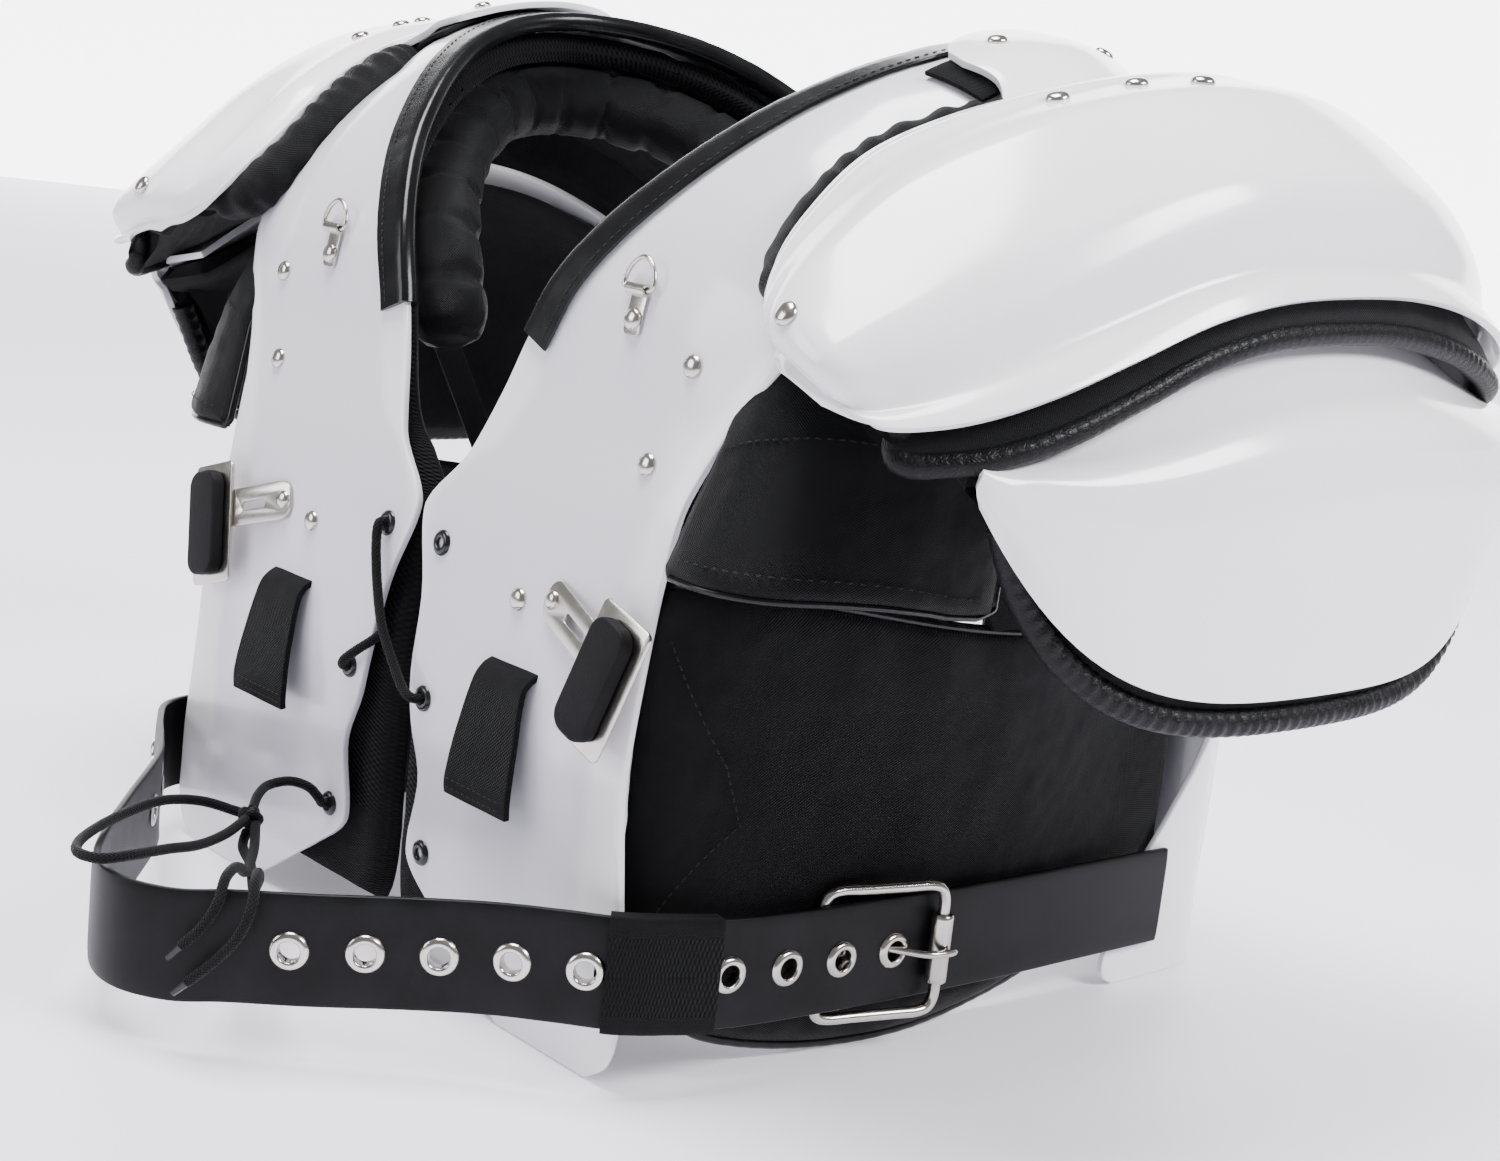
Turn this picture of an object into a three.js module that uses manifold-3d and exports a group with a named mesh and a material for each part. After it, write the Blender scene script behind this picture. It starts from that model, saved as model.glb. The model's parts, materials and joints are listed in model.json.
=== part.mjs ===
import * as THREE from 'three';
import { mergeVertices } from 'three/addons/utils/BufferGeometryUtils.js';
import Module from 'manifold-3d';

const wasm = await Module();
wasm.setup();

// Driving sizes in mm. X runs to the wearer's left, -Y is the front, +Z is up.
const archHeight = 390;
const frontDepth = 150;
const backDepth = 205;
const chestHalf = 165;
const plateWall = 3;
const gap = 0.3;
const bindingWidth = 15;
const bindingWall = 1.5;
const bindingPlay = 1.3;
const bindingLift = 0.8;
const liningThick = 13;
const liningPlay = 2;
const rollRadius = 18;
const rollInset = 22;
const capHalfLength = 183;
const capReach = 125;
const capDrop = 123;
const capOut = 13;
const capStartX = chestHalf + capOut;
const capMiddleY = 32;
const capSetDown = 5;
const capTopZ = archHeight - capSetDown;
const capWall = 3;
const capCrown = 15;
const ridgeRise = 7;
const capPadThick = 9;
const capPadEdge = 9;
const bridgeWall = 3;
const hingeStrapWall = 2;
const strapPlay = 1.2;
const padPlay = 1.2;
const cupOut = 22;
const cupCentreX = capStartX + cupOut;
const cupCentreY = 45;
const cupHalfWidth = 112;
const cupPastCap = 41;
const cupHalfLength = capHalfLength + cupPastCap;
const cupHalfAngle = 47;
const cupMiddleDrop = 147;
const cupMiddleZ = capTopZ - cupMiddleDrop;
const cupLowDrop = 214;
const cupLowZ = capTopZ - cupLowDrop;
const cupWall = 3;
const cupUnderPad = 10;
const cupPadThick = 10;
const cupPadHang = 13;
const cupHeight = 125;
const cupPadShort = 0.2;
const cupPadPlay = 2.2;
const flapThick = 6;
const flapReach = 64;
const flapHeight = 60;
const sidePadThick = 13;
const sidePadHeight = 186;
const beltWidth = 43;
const beltWall = 3;
const beltMiddleZ = 39;
const buckleStrapWall = 1.4;
const eyeletPitch = 26.8;
const eyeletCount = 10;
const farEyeletStart = 454;
const farEyeletCount = 4;
const eyeletRadius = 4.6;
const keeperLength = 42;
const keeperSetBack = 52;
const keeperWall = 1.4;
const buckleLength = 54;
const buckleWire = 4.5;
const rollerRadius = 4.4;
const prongWire = 3.2;
const laceDiameter = 4;
const laceHoleRadius = 3.6;
const slotWidth = 33;
const slotHeight = 6;
const tabLength = 54;
const tabWall = 2.6;
const hookWall = 1.6;
const hookPlateWidth = 30;
const hookPlateLength = 54;
const bracketWidth = 17;
const bracketLength = 44;
const insertThick = 6;
const ringWire = 2;
const ringWidth = 17;
const ringHeight = 12;
const clipWidth = 9;
const clipLength = 17;
const clipWall = 1;
const linkWidth = 32;
const linkWall = 2;
const armStrapWidth = 16;
const armStrapWall = 2;

// The arch sheet from the chest's hem over the shoulder to the hem of the back.
// y is a share of frontDepth or backDepth, z of archHeight, inner, outer and the lining's
// padIn and padOut of chestHalf, and bend is chestHalf over the radius of the sheet's side turn.
const archRows = [
  { y: -1.0, z: 0, inner: 0.56, outer: 0.9, bend: 0.05, padIn: 0.3, padOut: 0.83 },
  { y: -1.0, z: 0.018, inner: 0.49, outer: 0.96, bend: 0.05, padIn: 0.1, padOut: 0.83 },
  { y: -1.0, z: 0.049, inner: 0.376, outer: 0.988, bend: 0.05, padIn: 0.04, padOut: 0.83 },
  { y: -1.0, z: 0.08, inner: 0.26, outer: 0.986, bend: 0.05, padIn: 0.02, padOut: 0.83 },
  { y: -1.0, z: 0.11, inner: 0.16, outer: 0.984, bend: 0.05, padIn: 0.015, padOut: 0.83 },
  { y: -1.0, z: 0.138, inner: 0.14, outer: 0.98, bend: 0.05, padIn: 0.015, padOut: 0.83 },
  { y: -1.0, z: 0.205, inner: 0.167, outer: 0.957, bend: 0.05, padIn: 0.015, padOut: 0.83 },
  { y: -1.0, z: 0.26, inner: 0.118, outer: 0.94, bend: 0.05, padIn: 0.015, padOut: 0.83 },
  { y: -0.995, z: 0.313, inner: 0.094, outer: 0.933, bend: 0.05, padIn: 0.015, padOut: 0.83 },
  { y: -0.965, z: 0.392, inner: 0.075, outer: 0.924, bend: 0.08, padIn: 0.015, padOut: 0.83 },
  { y: -0.938, z: 0.462, inner: 0.018, outer: 0.921, bend: 0.1, padIn: 0.015, padOut: 0.83 },
  { y: -0.926, z: 0.492, inner: 0.03, outer: 0.923, bend: 0.15, padIn: 0.03, padOut: 0.84 },
  { y: -0.907, z: 0.533, inner: 0.125, outer: 0.927, bend: 0.2, padIn: 0.13, padOut: 0.86 },
  { y: -0.89, z: 0.562, inner: 0.163, outer: 0.939, bend: 0.3, padIn: 0.22, padOut: 0.89 },
  { y: -0.86, z: 0.615, inner: 0.212, outer: 0.99, bend: 0.5, padIn: 0.3, padOut: 0.94 },
  { y: -0.837, z: 0.672, inner: 0.262, outer: 1.07, bend: 0.7, padIn: 0.35, padOut: 1.02 },
  { y: -0.81, z: 0.731, inner: 0.327, outer: 1.13, bend: 0.9, padIn: 0.41, padOut: 1.08 },
  { y: -0.75, z: 0.785, inner: 0.412, outer: 1.15, bend: 1.2, padIn: 0.5, padOut: 1.1 },
  { y: -0.66, z: 0.837, inner: 0.509, outer: 1.164, bend: 1.5, padIn: 0.6, padOut: 1.12 },
  { y: -0.553, z: 0.882, inner: 0.594, outer: 1.15, bend: 1.8, padIn: 0.68, padOut: 1.13 },
  { y: -0.433, z: 0.921, inner: 0.673, outer: 1.12, bend: 2.0, padIn: 0.76, padOut: 1.11 },
  { y: -0.293, z: 0.954, inner: 0.745, outer: 1.12, bend: 2.0, padIn: 0.83, padOut: 1.11 },
  { y: -0.133, z: 0.979, inner: 0.794, outer: 1.14, bend: 2.0, padIn: 0.88, padOut: 1.11 },
  { y: 0.024, z: 0.993, inner: 0.806, outer: 1.14, bend: 2.0, padIn: 0.89, padOut: 1.11 },
  { y: 0.122, z: 0.997, inner: 0.782, outer: 1.14, bend: 2.0, padIn: 0.87, padOut: 1.11 },
  { y: 0.244, z: 0.993, inner: 0.709, outer: 1.14, bend: 2.0, padIn: 0.79, padOut: 1.11 },
  { y: 0.351, z: 0.98, inner: 0.612, outer: 1.14, bend: 2.0, padIn: 0.7, padOut: 1.11 },
  { y: 0.454, z: 0.956, inner: 0.509, outer: 1.15, bend: 1.8, padIn: 0.6, padOut: 1.13 },
  { y: 0.556, z: 0.918, inner: 0.4, outer: 1.158, bend: 1.6, padIn: 0.49, padOut: 1.12 },
  { y: 0.649, z: 0.872, inner: 0.297, outer: 1.14, bend: 1.4, padIn: 0.39, padOut: 1.1 },
  { y: 0.737, z: 0.815, inner: 0.212, outer: 1.115, bend: 1.3, padIn: 0.3, padOut: 1.07 },
  { y: 0.82, z: 0.744, inner: 0.152, outer: 1.08, bend: 1.4, padIn: 0.2, padOut: 1.03 },
  { y: 0.893, z: 0.654, inner: 0.109, outer: 1.04, bend: 1.8, padIn: 0.1, padOut: 0.98 },
  { y: 0.946, z: 0.551, inner: 0.085, outer: 1.0, bend: 2.5, padIn: 0.04, padOut: 0.84 },
  { y: 0.98, z: 0.436, inner: 0.073, outer: 1.03, bend: 3.1, padIn: 0.02, padOut: 0.84 },
  { y: 0.995, z: 0.308, inner: 0.073, outer: 1.15, bend: 3.3, padIn: 0.02, padOut: 0.84 },
  { y: 0.995, z: 0.18, inner: 0.073, outer: 1.35, bend: 3.3, padIn: 0.02, padOut: 0.84 },
  { y: 0.99, z: 0.103, inner: 0.085, outer: 1.46, bend: 3.3, padIn: 0.03, padOut: 0.84 },
  { y: 0.99, z: 0.051, inner: 0.133, outer: 1.52, bend: 3.3, padIn: 0.08, padOut: 0.84 },
  { y: 0.99, z: 0.015, inner: 0.24, outer: 1.53, bend: 3.3, padIn: 0.2, padOut: 0.84 },
  { y: 0.99, z: 0, inner: 0.36, outer: 1.48, bend: 3.3, padIn: 0.3, padOut: 0.85 },
];
const bendFromShare = 0.79;
const plateColumns = [0, 0.5, 0.67, 0.84, 1];
const archSteps = archRows.length - 1;

// The shoulder cap's two long edges from its front tip to its back tip, as shares of
// capReach (x), capHalfLength (y) and capDrop below capTopZ (drop).
const capRows = [
  { inX: 0.272, inY: -0.989, inDrop: 0.919, outX: 0.464, outY: -1.005, outDrop: 0.976 },
  { inX: 0.112, inY: -0.945, inDrop: 0.797, outX: 0.632, outY: -0.995, outDrop: 0.996 },
  { inX: 0.016, inY: -0.88, inDrop: 0.642, outX: 0.736, outY: -0.918, outDrop: 0.984 },
  { inX: -0.016, inY: -0.787, inDrop: 0.488, outX: 0.816, outY: -0.82, outDrop: 0.943 },
  { inX: 0.008, inY: -0.667, inDrop: 0.317, outX: 0.88, outY: -0.689, outDrop: 0.87 },
  { inX: 0.096, inY: -0.514, inDrop: 0.187, outX: 0.928, outY: -0.536, outDrop: 0.772 },
  { inX: 0.2, inY: -0.339, inDrop: 0.089, outX: 0.968, outY: -0.366, outDrop: 0.667 },
  { inX: 0.264, inY: -0.148, inDrop: 0.024, outX: 0.992, outY: -0.175, outDrop: 0.602 },
  { inX: 0.28, inY: 0.033, inDrop: 0, outX: 1, outY: 0.044, outDrop: 0.577 },
  { inX: 0.264, inY: 0.208, inDrop: 0.024, outX: 0.992, outY: 0.262, outDrop: 0.577 },
  { inX: 0.208, inY: 0.372, inDrop: 0.098, outX: 0.968, outY: 0.47, outDrop: 0.61 },
  { inX: 0.136, inY: 0.536, inDrop: 0.236, outX: 0.912, outY: 0.656, outDrop: 0.675 },
  { inX: 0.072, inY: 0.689, inDrop: 0.431, outX: 0.816, outY: 0.809, outDrop: 0.756 },
  { inX: 0.064, inY: 0.82, inDrop: 0.642, outX: 0.672, outY: 0.918, outDrop: 0.837 },
  { inX: 0.216, inY: 0.934, inDrop: 0.821, outX: 0.496, outY: 0.962, outDrop: 0.894 },
];

// The side pad's outer face in plan, from behind the chest plate to inside the back plate's wing:
// x as a share of chestHalf, y of frontDepth; low and high are its hem and top, shares of sidePadHeight.
const sideRows = [
  { x: 0.85, y: -0.905, low: 0.17, high: 0.98 },
  { x: 0.93, y: -0.9, low: 0.16, high: 1.0 },
  { x: 0.985, y: -0.84, low: 0.13, high: 1.0 },
  { x: 1.03, y: -0.7, low: 0.07, high: 0.99 },
  { x: 1.06, y: -0.4, low: 0.02, high: 0.95 },
  { x: 1.08, y: -0.05, low: 0.01, high: 0.9 },
  { x: 1.083, y: 0.28, low: 0.05, high: 0.87 },
  { x: 1.07, y: 0.52, low: 0.1, high: 0.88 },
  { x: 1.05, y: 0.72, low: 0.18, high: 0.92 },
  { x: 1.045, y: 0.98, low: 0.3, high: 0.96 },
];

// The belt's inner face in plan, from the wearer's right side round the front to the left side:
// x as a share of chestHalf, y of frontDepth, and rise of its middle line, a share of beltWidth.
const beltRows = [
  { x: -1.1, y: 0.93, rise: 0 },
  { x: -1.108, y: 0.6, rise: 0 },
  { x: -1.112, y: 0.2, rise: 0 },
  { x: -1.11, y: -0.15, rise: 0 },
  { x: -1.1, y: -0.45, rise: 0 },
  { x: -1.083, y: -0.72, rise: 0 },
  { x: -1.065, y: -0.9, rise: 0 },
  { x: -1.02, y: -1.03, rise: 0 },
  { x: -0.9, y: -1.12, rise: 0 },
  { x: -0.74, y: -1.21, rise: 0 },
  { x: -0.58, y: -1.31, rise: 0 },
  { x: -0.32, y: -1.54, rise: 0 },
  { x: -0.1, y: -1.73, rise: 0 },
  { x: 0.06, y: -1.84, rise: 0 },
  { x: 0.2, y: -1.86, rise: 0 },
  { x: 0.32, y: -1.79, rise: 0 },
  { x: 0.42, y: -1.69, rise: 0.06 },
  { x: 0.54, y: -1.55, rise: 0.1 },
  { x: 0.67, y: -1.37, rise: 0.14 },
  { x: 0.79, y: -1.23, rise: 0.18 },
  { x: 0.915, y: -1.125, rise: 0.22 },
  { x: 1.004, y: -1.029, rise: 0.22 },
  { x: 1.052, y: -0.911, rise: 0.2 },
  { x: 1.085, y: -0.73, rise: 0.15 },
  { x: 1.1, y: -0.45, rise: 0.11 },
  { x: 1.112, y: -0.15, rise: 0.09 },
  { x: 1.115, y: 0.2, rise: 0.06 },
  { x: 1.108, y: 0.6, rise: 0.03 },
  { x: 1.1, y: 0.93, rise: 0 },
];

const lerp = THREE.MathUtils.lerp;
const clamp = THREE.MathUtils.clamp;
const vec = (x, y, z) => new THREE.Vector3(x, y, z);

// A column of a table read at a share t of its length, smoothed from row to row.
function column(rows, t, name, scale = 1) {
  const at = clamp(t, 0, 1) * (rows.length - 1);
  const row = Math.min(Math.floor(at), rows.length - 2);
  const value = (index) => rows[clamp(index, 0, rows.length - 1)][name];
  const before = value(row - 1);
  const from = value(row);
  const to = value(row + 1);
  const after = value(row + 2);
  const w = at - row;
  const startSlope = (to - before) / 2;
  const endSlope = (after - from) / 2;
  const cubic = (2 * from - 2 * to + startSlope + endSlope) * w ** 3;
  const square = (-3 * from + 3 * to - 2 * startSlope - endSlope) * w ** 2;
  return scale * (cubic + square + startSlope * w + from);
}

// A closed wall whose outer face follows place(u, v, 0) and whose inner face place(u, v, 1).
function wall(place, across, along) {
  const box = new THREE.BoxGeometry(1, 1, 1, across, along, 1);
  box.deleteAttribute('normal');
  box.deleteAttribute('uv');
  const geometry = mergeVertices(box, 1e-5);
  const position = geometry.getAttribute('position');
  for (let i = 0; i < position.count; i += 1) {
    const point = place(position.getX(i) + 0.5, position.getY(i) + 0.5, 0.5 - position.getZ(i));
    position.setXYZ(i, point.x, point.y, point.z);
  }
  return geometry;
}

// The outward normal of surface(u, v), from its two tangents.
function normalOf(surface, u, v) {
  const step = 0.004;
  const du = surface(u + step, v).sub(surface(u - step, v));
  const dv = surface(u, v + step).sub(surface(u, v - step));
  return du.cross(dv).normalize();
}

// A wall that hangs below a surface, from depth start to depth start + thick.
function hung(surface, start, thick, across, along) {
  return wall((u, v, w) => {
    const depth = start + w * (typeof thick === 'function' ? thick(u, v) : thick);
    return surface(u, v).addScaledVector(normalOf(surface, u, v), -depth);
  }, across, along);
}

// A pad's thickness, thinner at its rim.
const pillow = (thick) => (u, v) => {
  const rim = Math.min(u, 1 - u, v, 1 - v);
  return thick * (0.5 + 0.5 * clamp(rim * 5, 0, 1));
};

function solidOf(geometry) {
  const bare = new THREE.BufferGeometry();
  bare.setAttribute('position', geometry.getAttribute('position').clone());
  if (geometry.index) bare.setIndex(geometry.index.clone());
  const merged = mergeVertices(bare, 1e-4);
  const mesh = new wasm.Mesh({
    numProp: 3,
    vertProperties: new Float32Array(merged.getAttribute('position').array),
    triVerts: new Uint32Array(merged.index.array),
  });
  return new wasm.Manifold(mesh);
}

function geometryOf(solid) {
  const mesh = solid.getMesh();
  const geometry = new THREE.BufferGeometry();
  geometry.setAttribute('position', new THREE.BufferAttribute(new Float32Array(mesh.vertProperties), 3));
  geometry.setIndex(new THREE.BufferAttribute(new Uint32Array(mesh.triVerts), 1));
  return geometry;
}

const cut = (geometry, ...tools) => geometryOf(
  tools.reduce((solid, tool) => solid.subtract(solidOf(tool)), solidOf(geometry)));
const join = (geometry, ...others) => geometryOf(
  others.reduce((solid, other) => solid.add(solidOf(other)), solidOf(geometry)));

// The same piece for the wearer's right side.
function mirrored(geometry) {
  const twin = geometry.clone();
  twin.deleteAttribute('normal');
  const position = twin.getAttribute('position');
  for (let i = 0; i < position.count; i += 1) position.setX(i, -position.getX(i));
  const index = twin.index ? Array.from(twin.index.array) : Array.from({ length: position.count }, (_, i) => i);
  for (let i = 0; i < index.length; i += 3) [index[i], index[i + 1]] = [index[i + 1], index[i]];
  twin.setIndex(index);
  return twin;
}

// A round bar or cord along a curve through the points.
function rod(points, diameter, steps, sides = 8) {
  const ring = Array.from({ length: sides }, (_, i) => new THREE.Vector2(
    diameter / 2 * Math.cos(2 * Math.PI * i / sides), diameter / 2 * Math.sin(2 * Math.PI * i / sides)));
  const extrudePath = new THREE.CatmullRomCurve3(points);
  return new THREE.ExtrudeGeometry(new THREE.Shape(ring), { steps, extrudePath, bevelEnabled: false });
}

// A closed wire loop through the points.
function loop(points, diameter, steps, sides = 6) {
  const path = new THREE.CatmullRomCurve3(points, true, 'centripetal');
  const tube = new THREE.TubeGeometry(path, steps, diameter / 2, sides, true);
  tube.deleteAttribute('normal');
  tube.deleteAttribute('uv');
  return mergeVertices(tube, 1e-3);
}

// A box or cylinder set in a frame: centre, and the directions of its own X, Y and Z.
function placed(geometry, centre, xAxis, yAxis, zAxis) {
  const matrix = new THREE.Matrix4().makeBasis(xAxis, yAxis, zAxis).setPosition(centre);
  return geometry.clone().applyMatrix4(matrix);
}

// A point of the arch: across is measured along the sheet from the middle plane, depth is below it.
function archFrame(across, v) {
  const depthScale = (name) => (t) => {
    const share = column(archRows, t, name);
    return share * (share < 0 ? frontDepth : backDepth);
  };
  const y = depthScale('y');
  const z = (t) => column(archRows, t, 'z', archHeight);
  const step = 0.003;
  const before = clamp(v - step, 0, 1);
  const after = clamp(v + step, 0, 1);
  const along = vec(0, y(after) - y(before), z(after) - z(before)).normalize();
  const outward = vec(0, -along.z, along.y);
  const bend = column(archRows, v, 'bend') / chestHalf;
  const start = Math.max(bendFromShare * chestHalf, column(archRows, v, 'inner', chestHalf) + bindingWidth + 3);
  const beyond = Math.max(0, across - start);
  const angle = Math.min(bend * beyond, Math.PI / 2);
  const straight = Math.max(0, beyond - Math.PI / 2 / bend);
  const x = Math.min(across, start) + Math.sin(angle) / bend;
  const drop = (1 - Math.cos(angle)) / bend + straight;
  const point = vec(x, y(v), z(v)).addScaledVector(outward, -drop);
  const normal = outward.clone().multiplyScalar(Math.cos(angle)).add(vec(Math.sin(angle), 0, 0));
  const side = vec(Math.cos(angle), 0, 0).addScaledVector(outward, -Math.sin(angle));
  return { point, normal, along, side };
}

function archPoint(across, v, depth = 0) {
  const { point, normal } = archFrame(across, v);
  return point.addScaledVector(normal, -depth);
}

const archEdge = (v, name) => column(archRows, v, name, chestHalf);

// The station on the front half of the arch at a share of its height, and on its back half.
function station(heightShare, back = false) {
  let low = back ? 1 : 0;
  let high = 24 / archSteps;
  for (let i = 0; i < 40; i += 1) {
    const middle = (low + high) / 2;
    if (column(archRows, middle, 'z') < heightShare) low = middle;
    else high = middle;
  }
  return (low + high) / 2;
}

function capEdgePoint(v, side) {
  return vec(
    capStartX + column(capRows, v, `${side}X`, capReach),
    capMiddleY + column(capRows, v, `${side}Y`, capHalfLength),
    capTopZ - column(capRows, v, `${side}Drop`, capDrop),
  );
}

// The cap between its edges, crowned, with one long raised ridge; it runs on past its edges for its pad.
function capSurface(u, v) {
  const inside = clamp(v, 0, 1);
  const inner = capEdgePoint(inside, 'in');
  const outer = capEdgePoint(inside, 'out');
  const point = inner.clone().lerp(outer, u);
  const endRise = Math.sin(Math.PI * inside);
  const crown = capCrown * (0.35 + 0.65 * endRise) * 4 * u * (1 - u);
  const ridge = ridgeRise * THREE.MathUtils.smoothstep(Math.min(u - 0.14, 0.86 - u), 0, 0.2)
    * THREE.MathUtils.smoothstep(Math.min(inside - 0.03, 0.97 - inside), 0, 0.08);
  const chord = outer.sub(inner).normalize();
  const tangent = capEdgePoint(clamp(inside + 0.02, 0, 1), 'in').sub(capEdgePoint(clamp(inside - 0.02, 0, 1), 'in'));
  const lift = chord.cross(tangent).normalize();
  point.addScaledVector(lift, crown + ridge);
  if (v !== inside) point.addScaledVector(tangent.normalize(), (v - inside) * 2 * capHalfLength);
  return point;
}

// The deltoid cup: an oval wall that hangs from inside the cap, its hem higher at both ends.
function cupSurface(u, v) {
  const halfAngle = cupHalfAngle * Math.PI / 180;
  const angle = lerp(-halfAngle, halfAngle, u);
  const oval = (scale, height) => vec(
    cupCentreX + scale * cupHalfWidth * Math.cos(angle),
    cupCentreY + scale * cupHalfLength * Math.sin(angle),
    height,
  );
  const hem = cupLowZ + (cupMiddleZ - cupLowZ) * Math.abs(Math.sin(angle) / Math.sin(halfAngle)) ** 4;
  const top = capSurface(0.86, lerp(0.2, 0.86, u));
  const under = capWall + strapPlay + bridgeWall + padPlay + capPadThick + cupUnderPad;
  top.addScaledVector(normalOf(capSurface, 0.86, lerp(0.2, 0.86, u)), -under - cupWall);
  const path = new THREE.CatmullRomCurve3([
    oval(0.97, hem),
    oval(1, lerp(hem, top.z, 0.3)),
    oval(0.99, lerp(hem, top.z, 0.66)),
    top,
  ]);
  const below = Math.min(v, 0) * path.getLength();
  return path.getPoint(clamp(v, 0, 1)).addScaledVector(path.getTangent(0), below);
}

// The belt's inner face: t runs along it, n is outward in plan.
function beltFrame(t) {
  const at = (s) => vec(column(beltRows, s, 'x', chestHalf), column(beltRows, s, 'y', frontDepth), 0);
  const point = at(t);
  point.z = beltMiddleZ + column(beltRows, t, 'rise', beltWidth);
  const along = at(Math.min(t + 0.003, 1)).sub(at(Math.max(t - 0.003, 0))).normalize();
  return { point, along, outward: vec(along.y, -along.x, 0) };
}

function beltPoint(t, lift, height) {
  const { point, outward } = beltFrame(t);
  return point.addScaledVector(outward, lift).add(vec(0, 0, height));
}

// The belt's share at a given plan y on the wearer's left side.
function beltShareAt(y) {
  let low = 0.55;
  let high = 1;
  for (let i = 0; i < 40; i += 1) {
    const middle = (low + high) / 2;
    if (beltFrame(middle).point.y < y) low = middle;
    else high = middle;
  }
  return (low + high) / 2;
}

// The belt share that lies a length away from another one.
function beltShareFrom(start, length) {
  const step = 0.0005 * Math.sign(length);
  let share = start;
  let walked = 0;
  let last = beltFrame(share).point;
  while (walked < Math.abs(length) && share > 0 && share < 1) {
    share += step;
    const next = beltFrame(share).point;
    walked += next.distanceTo(last);
    last = next;
  }
  return share;
}

const model = new THREE.Group();
const finishes = {
  plate: { color: 0xe9e8ee, roughness: 0.2, metalness: 0 },
  vinyl: { color: 0x111214, roughness: 0.3, metalness: 0 },
  nylon: { color: 0x0c0c0e, roughness: 0.7, metalness: 0 },
  nickel: { color: 0xb9b4ac, roughness: 0.25, metalness: 1 },
  rubber: { color: 0x0a0a0b, roughness: 0.85, metalness: 0 },
};

function add(name, geometry, finish) {
  const material = new THREE.MeshStandardMaterial(finishes[finish]);
  const mesh = new THREE.Mesh(geometry, material);
  mesh.name = name;
  model.add(mesh);
}

function addPair(name, geometry, finish) {
  add(`${name}_left`, geometry, finish);
  add(`${name}_right`, mirrored(geometry), finish);
}

// Fittings on the chest plate, each at a share of chestHalf across and of archHeight up.
const laceHoles = [{ x: 0.12, z: 0.447 }, { x: 0.165, z: 0.29 }, { x: 0.21, z: 0.131 }];
const slotPlace = { x: 0.49, z: 0.354 };
const hookPlace = { x: 0.588, z: 0.433 };
const ringPlace = { x: 0.635, z: 0.712 };

function onChest({ x, z }) {
  const v = station(z);
  return archFrame(x * chestHalf, v);
}

// Arch plates with their lace holes and webbing slot
function archPlate() {
  const sheet = wall((u, v, w) => archPoint(
    lerp(archEdge(v, 'inner'), archEdge(v, 'outer'), plateColumns[Math.round(u * 4)]), v, w * plateWall), 4, archSteps);
  const drill = laceHoles.map((hole) => {
    const { point, normal, along, side } = onChest(hole);
    const cylinder = new THREE.CylinderGeometry(laceHoleRadius, laceHoleRadius, plateWall * 4, 8);
    return placed(cylinder, point, along, normal, side);
  });
  const { point, normal, along, side } = onChest(slotPlace);
  const slot = placed(new THREE.BoxGeometry(slotWidth, slotHeight, plateWall * 4), point, side, along, normal);
  return cut(sheet, ...drill, slot);
}
addPair('arch_plate', archPlate(), 'plate');

// Linings under the arches, each from the chest's hem over the shoulder to the back's
const liningDepth = plateWall + bindingPlay + bindingWall + liningPlay;
const liningFrom = station(0.035);
const liningTo = station(0.035, true);
function lining() {
  return wall((u, v, w) => {
    const at = lerp(liningFrom, liningTo, v);
    const across = lerp(archEdge(at, 'padIn'), archEdge(at, 'padOut'), u);
    return archPoint(across, at, liningDepth + w * pillow(liningThick)(u, v));
  }, 3, 24);
}
addPair('arch_lining', lining(), 'nylon');

// Neck bindings: a channel round the plate's neck edge
const bindingFrom = Math.round(station(0.668) * archSteps);
const bindingTo = Math.round(station(0.7, true) * archSteps);
function neckBinding() {
  const low = plateWall + bindingPlay;
  const outline = [
    [bindingWidth, bindingLift], [bindingWidth, bindingLift + bindingWall], [0, bindingLift + bindingWall * 1.4],
    [-bindingPlay - bindingWall, -plateWall / 2], [0, -low - bindingWall * 1.2],
    [bindingWidth * 0.7, -low - bindingWall], [bindingWidth * 0.7, -low], [-bindingPlay / 2, -low],
    [-bindingPlay, -plateWall / 2], [-bindingPlay / 2, bindingLift],
  ];
  const rows = bindingTo - bindingFrom;
  const positions = [];
  for (let i = 0; i <= rows; i += 1) {
    const v = (bindingFrom + i) / archSteps;
    const edge = archFrame(archEdge(v, 'inner'), v);
    const ahead = archPoint(archEdge(v + 0.004, 'inner'), v + 0.004);
    const behind = archPoint(archEdge(v - 0.004, 'inner'), v - 0.004);
    const inward = ahead.sub(behind).cross(edge.normal).normalize();
    outline.forEach(([reach, lift]) => {
      const point = edge.point.clone().addScaledVector(inward, reach).addScaledVector(edge.normal, lift);
      positions.push(point.x, point.y, point.z);
    });
  }
  const size = outline.length;
  const index = [];
  for (let i = 0; i < rows; i += 1) {
    for (let j = 0; j < size; j += 1) {
      const a = i * size + j;
      const b = i * size + (j + 1) % size;
      index.push(a, a + size, b, b, a + size, b + size);
    }
  }
  const flat = outline.map(([reach, lift]) => new THREE.Vector2(reach, lift));
  const cap = THREE.ShapeUtils.triangulateShape(flat, []);
  const last = rows * size;
  cap.forEach(([a, b, c]) => index.push(a, b, c, last + a, last + c, last + b));
  const geometry = new THREE.BufferGeometry();
  geometry.setAttribute('position', new THREE.Float32BufferAttribute(positions, 3));
  geometry.setIndex(index);
  return geometry;
}
addPair('neck_binding', neckBinding(), 'vinyl');

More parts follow.
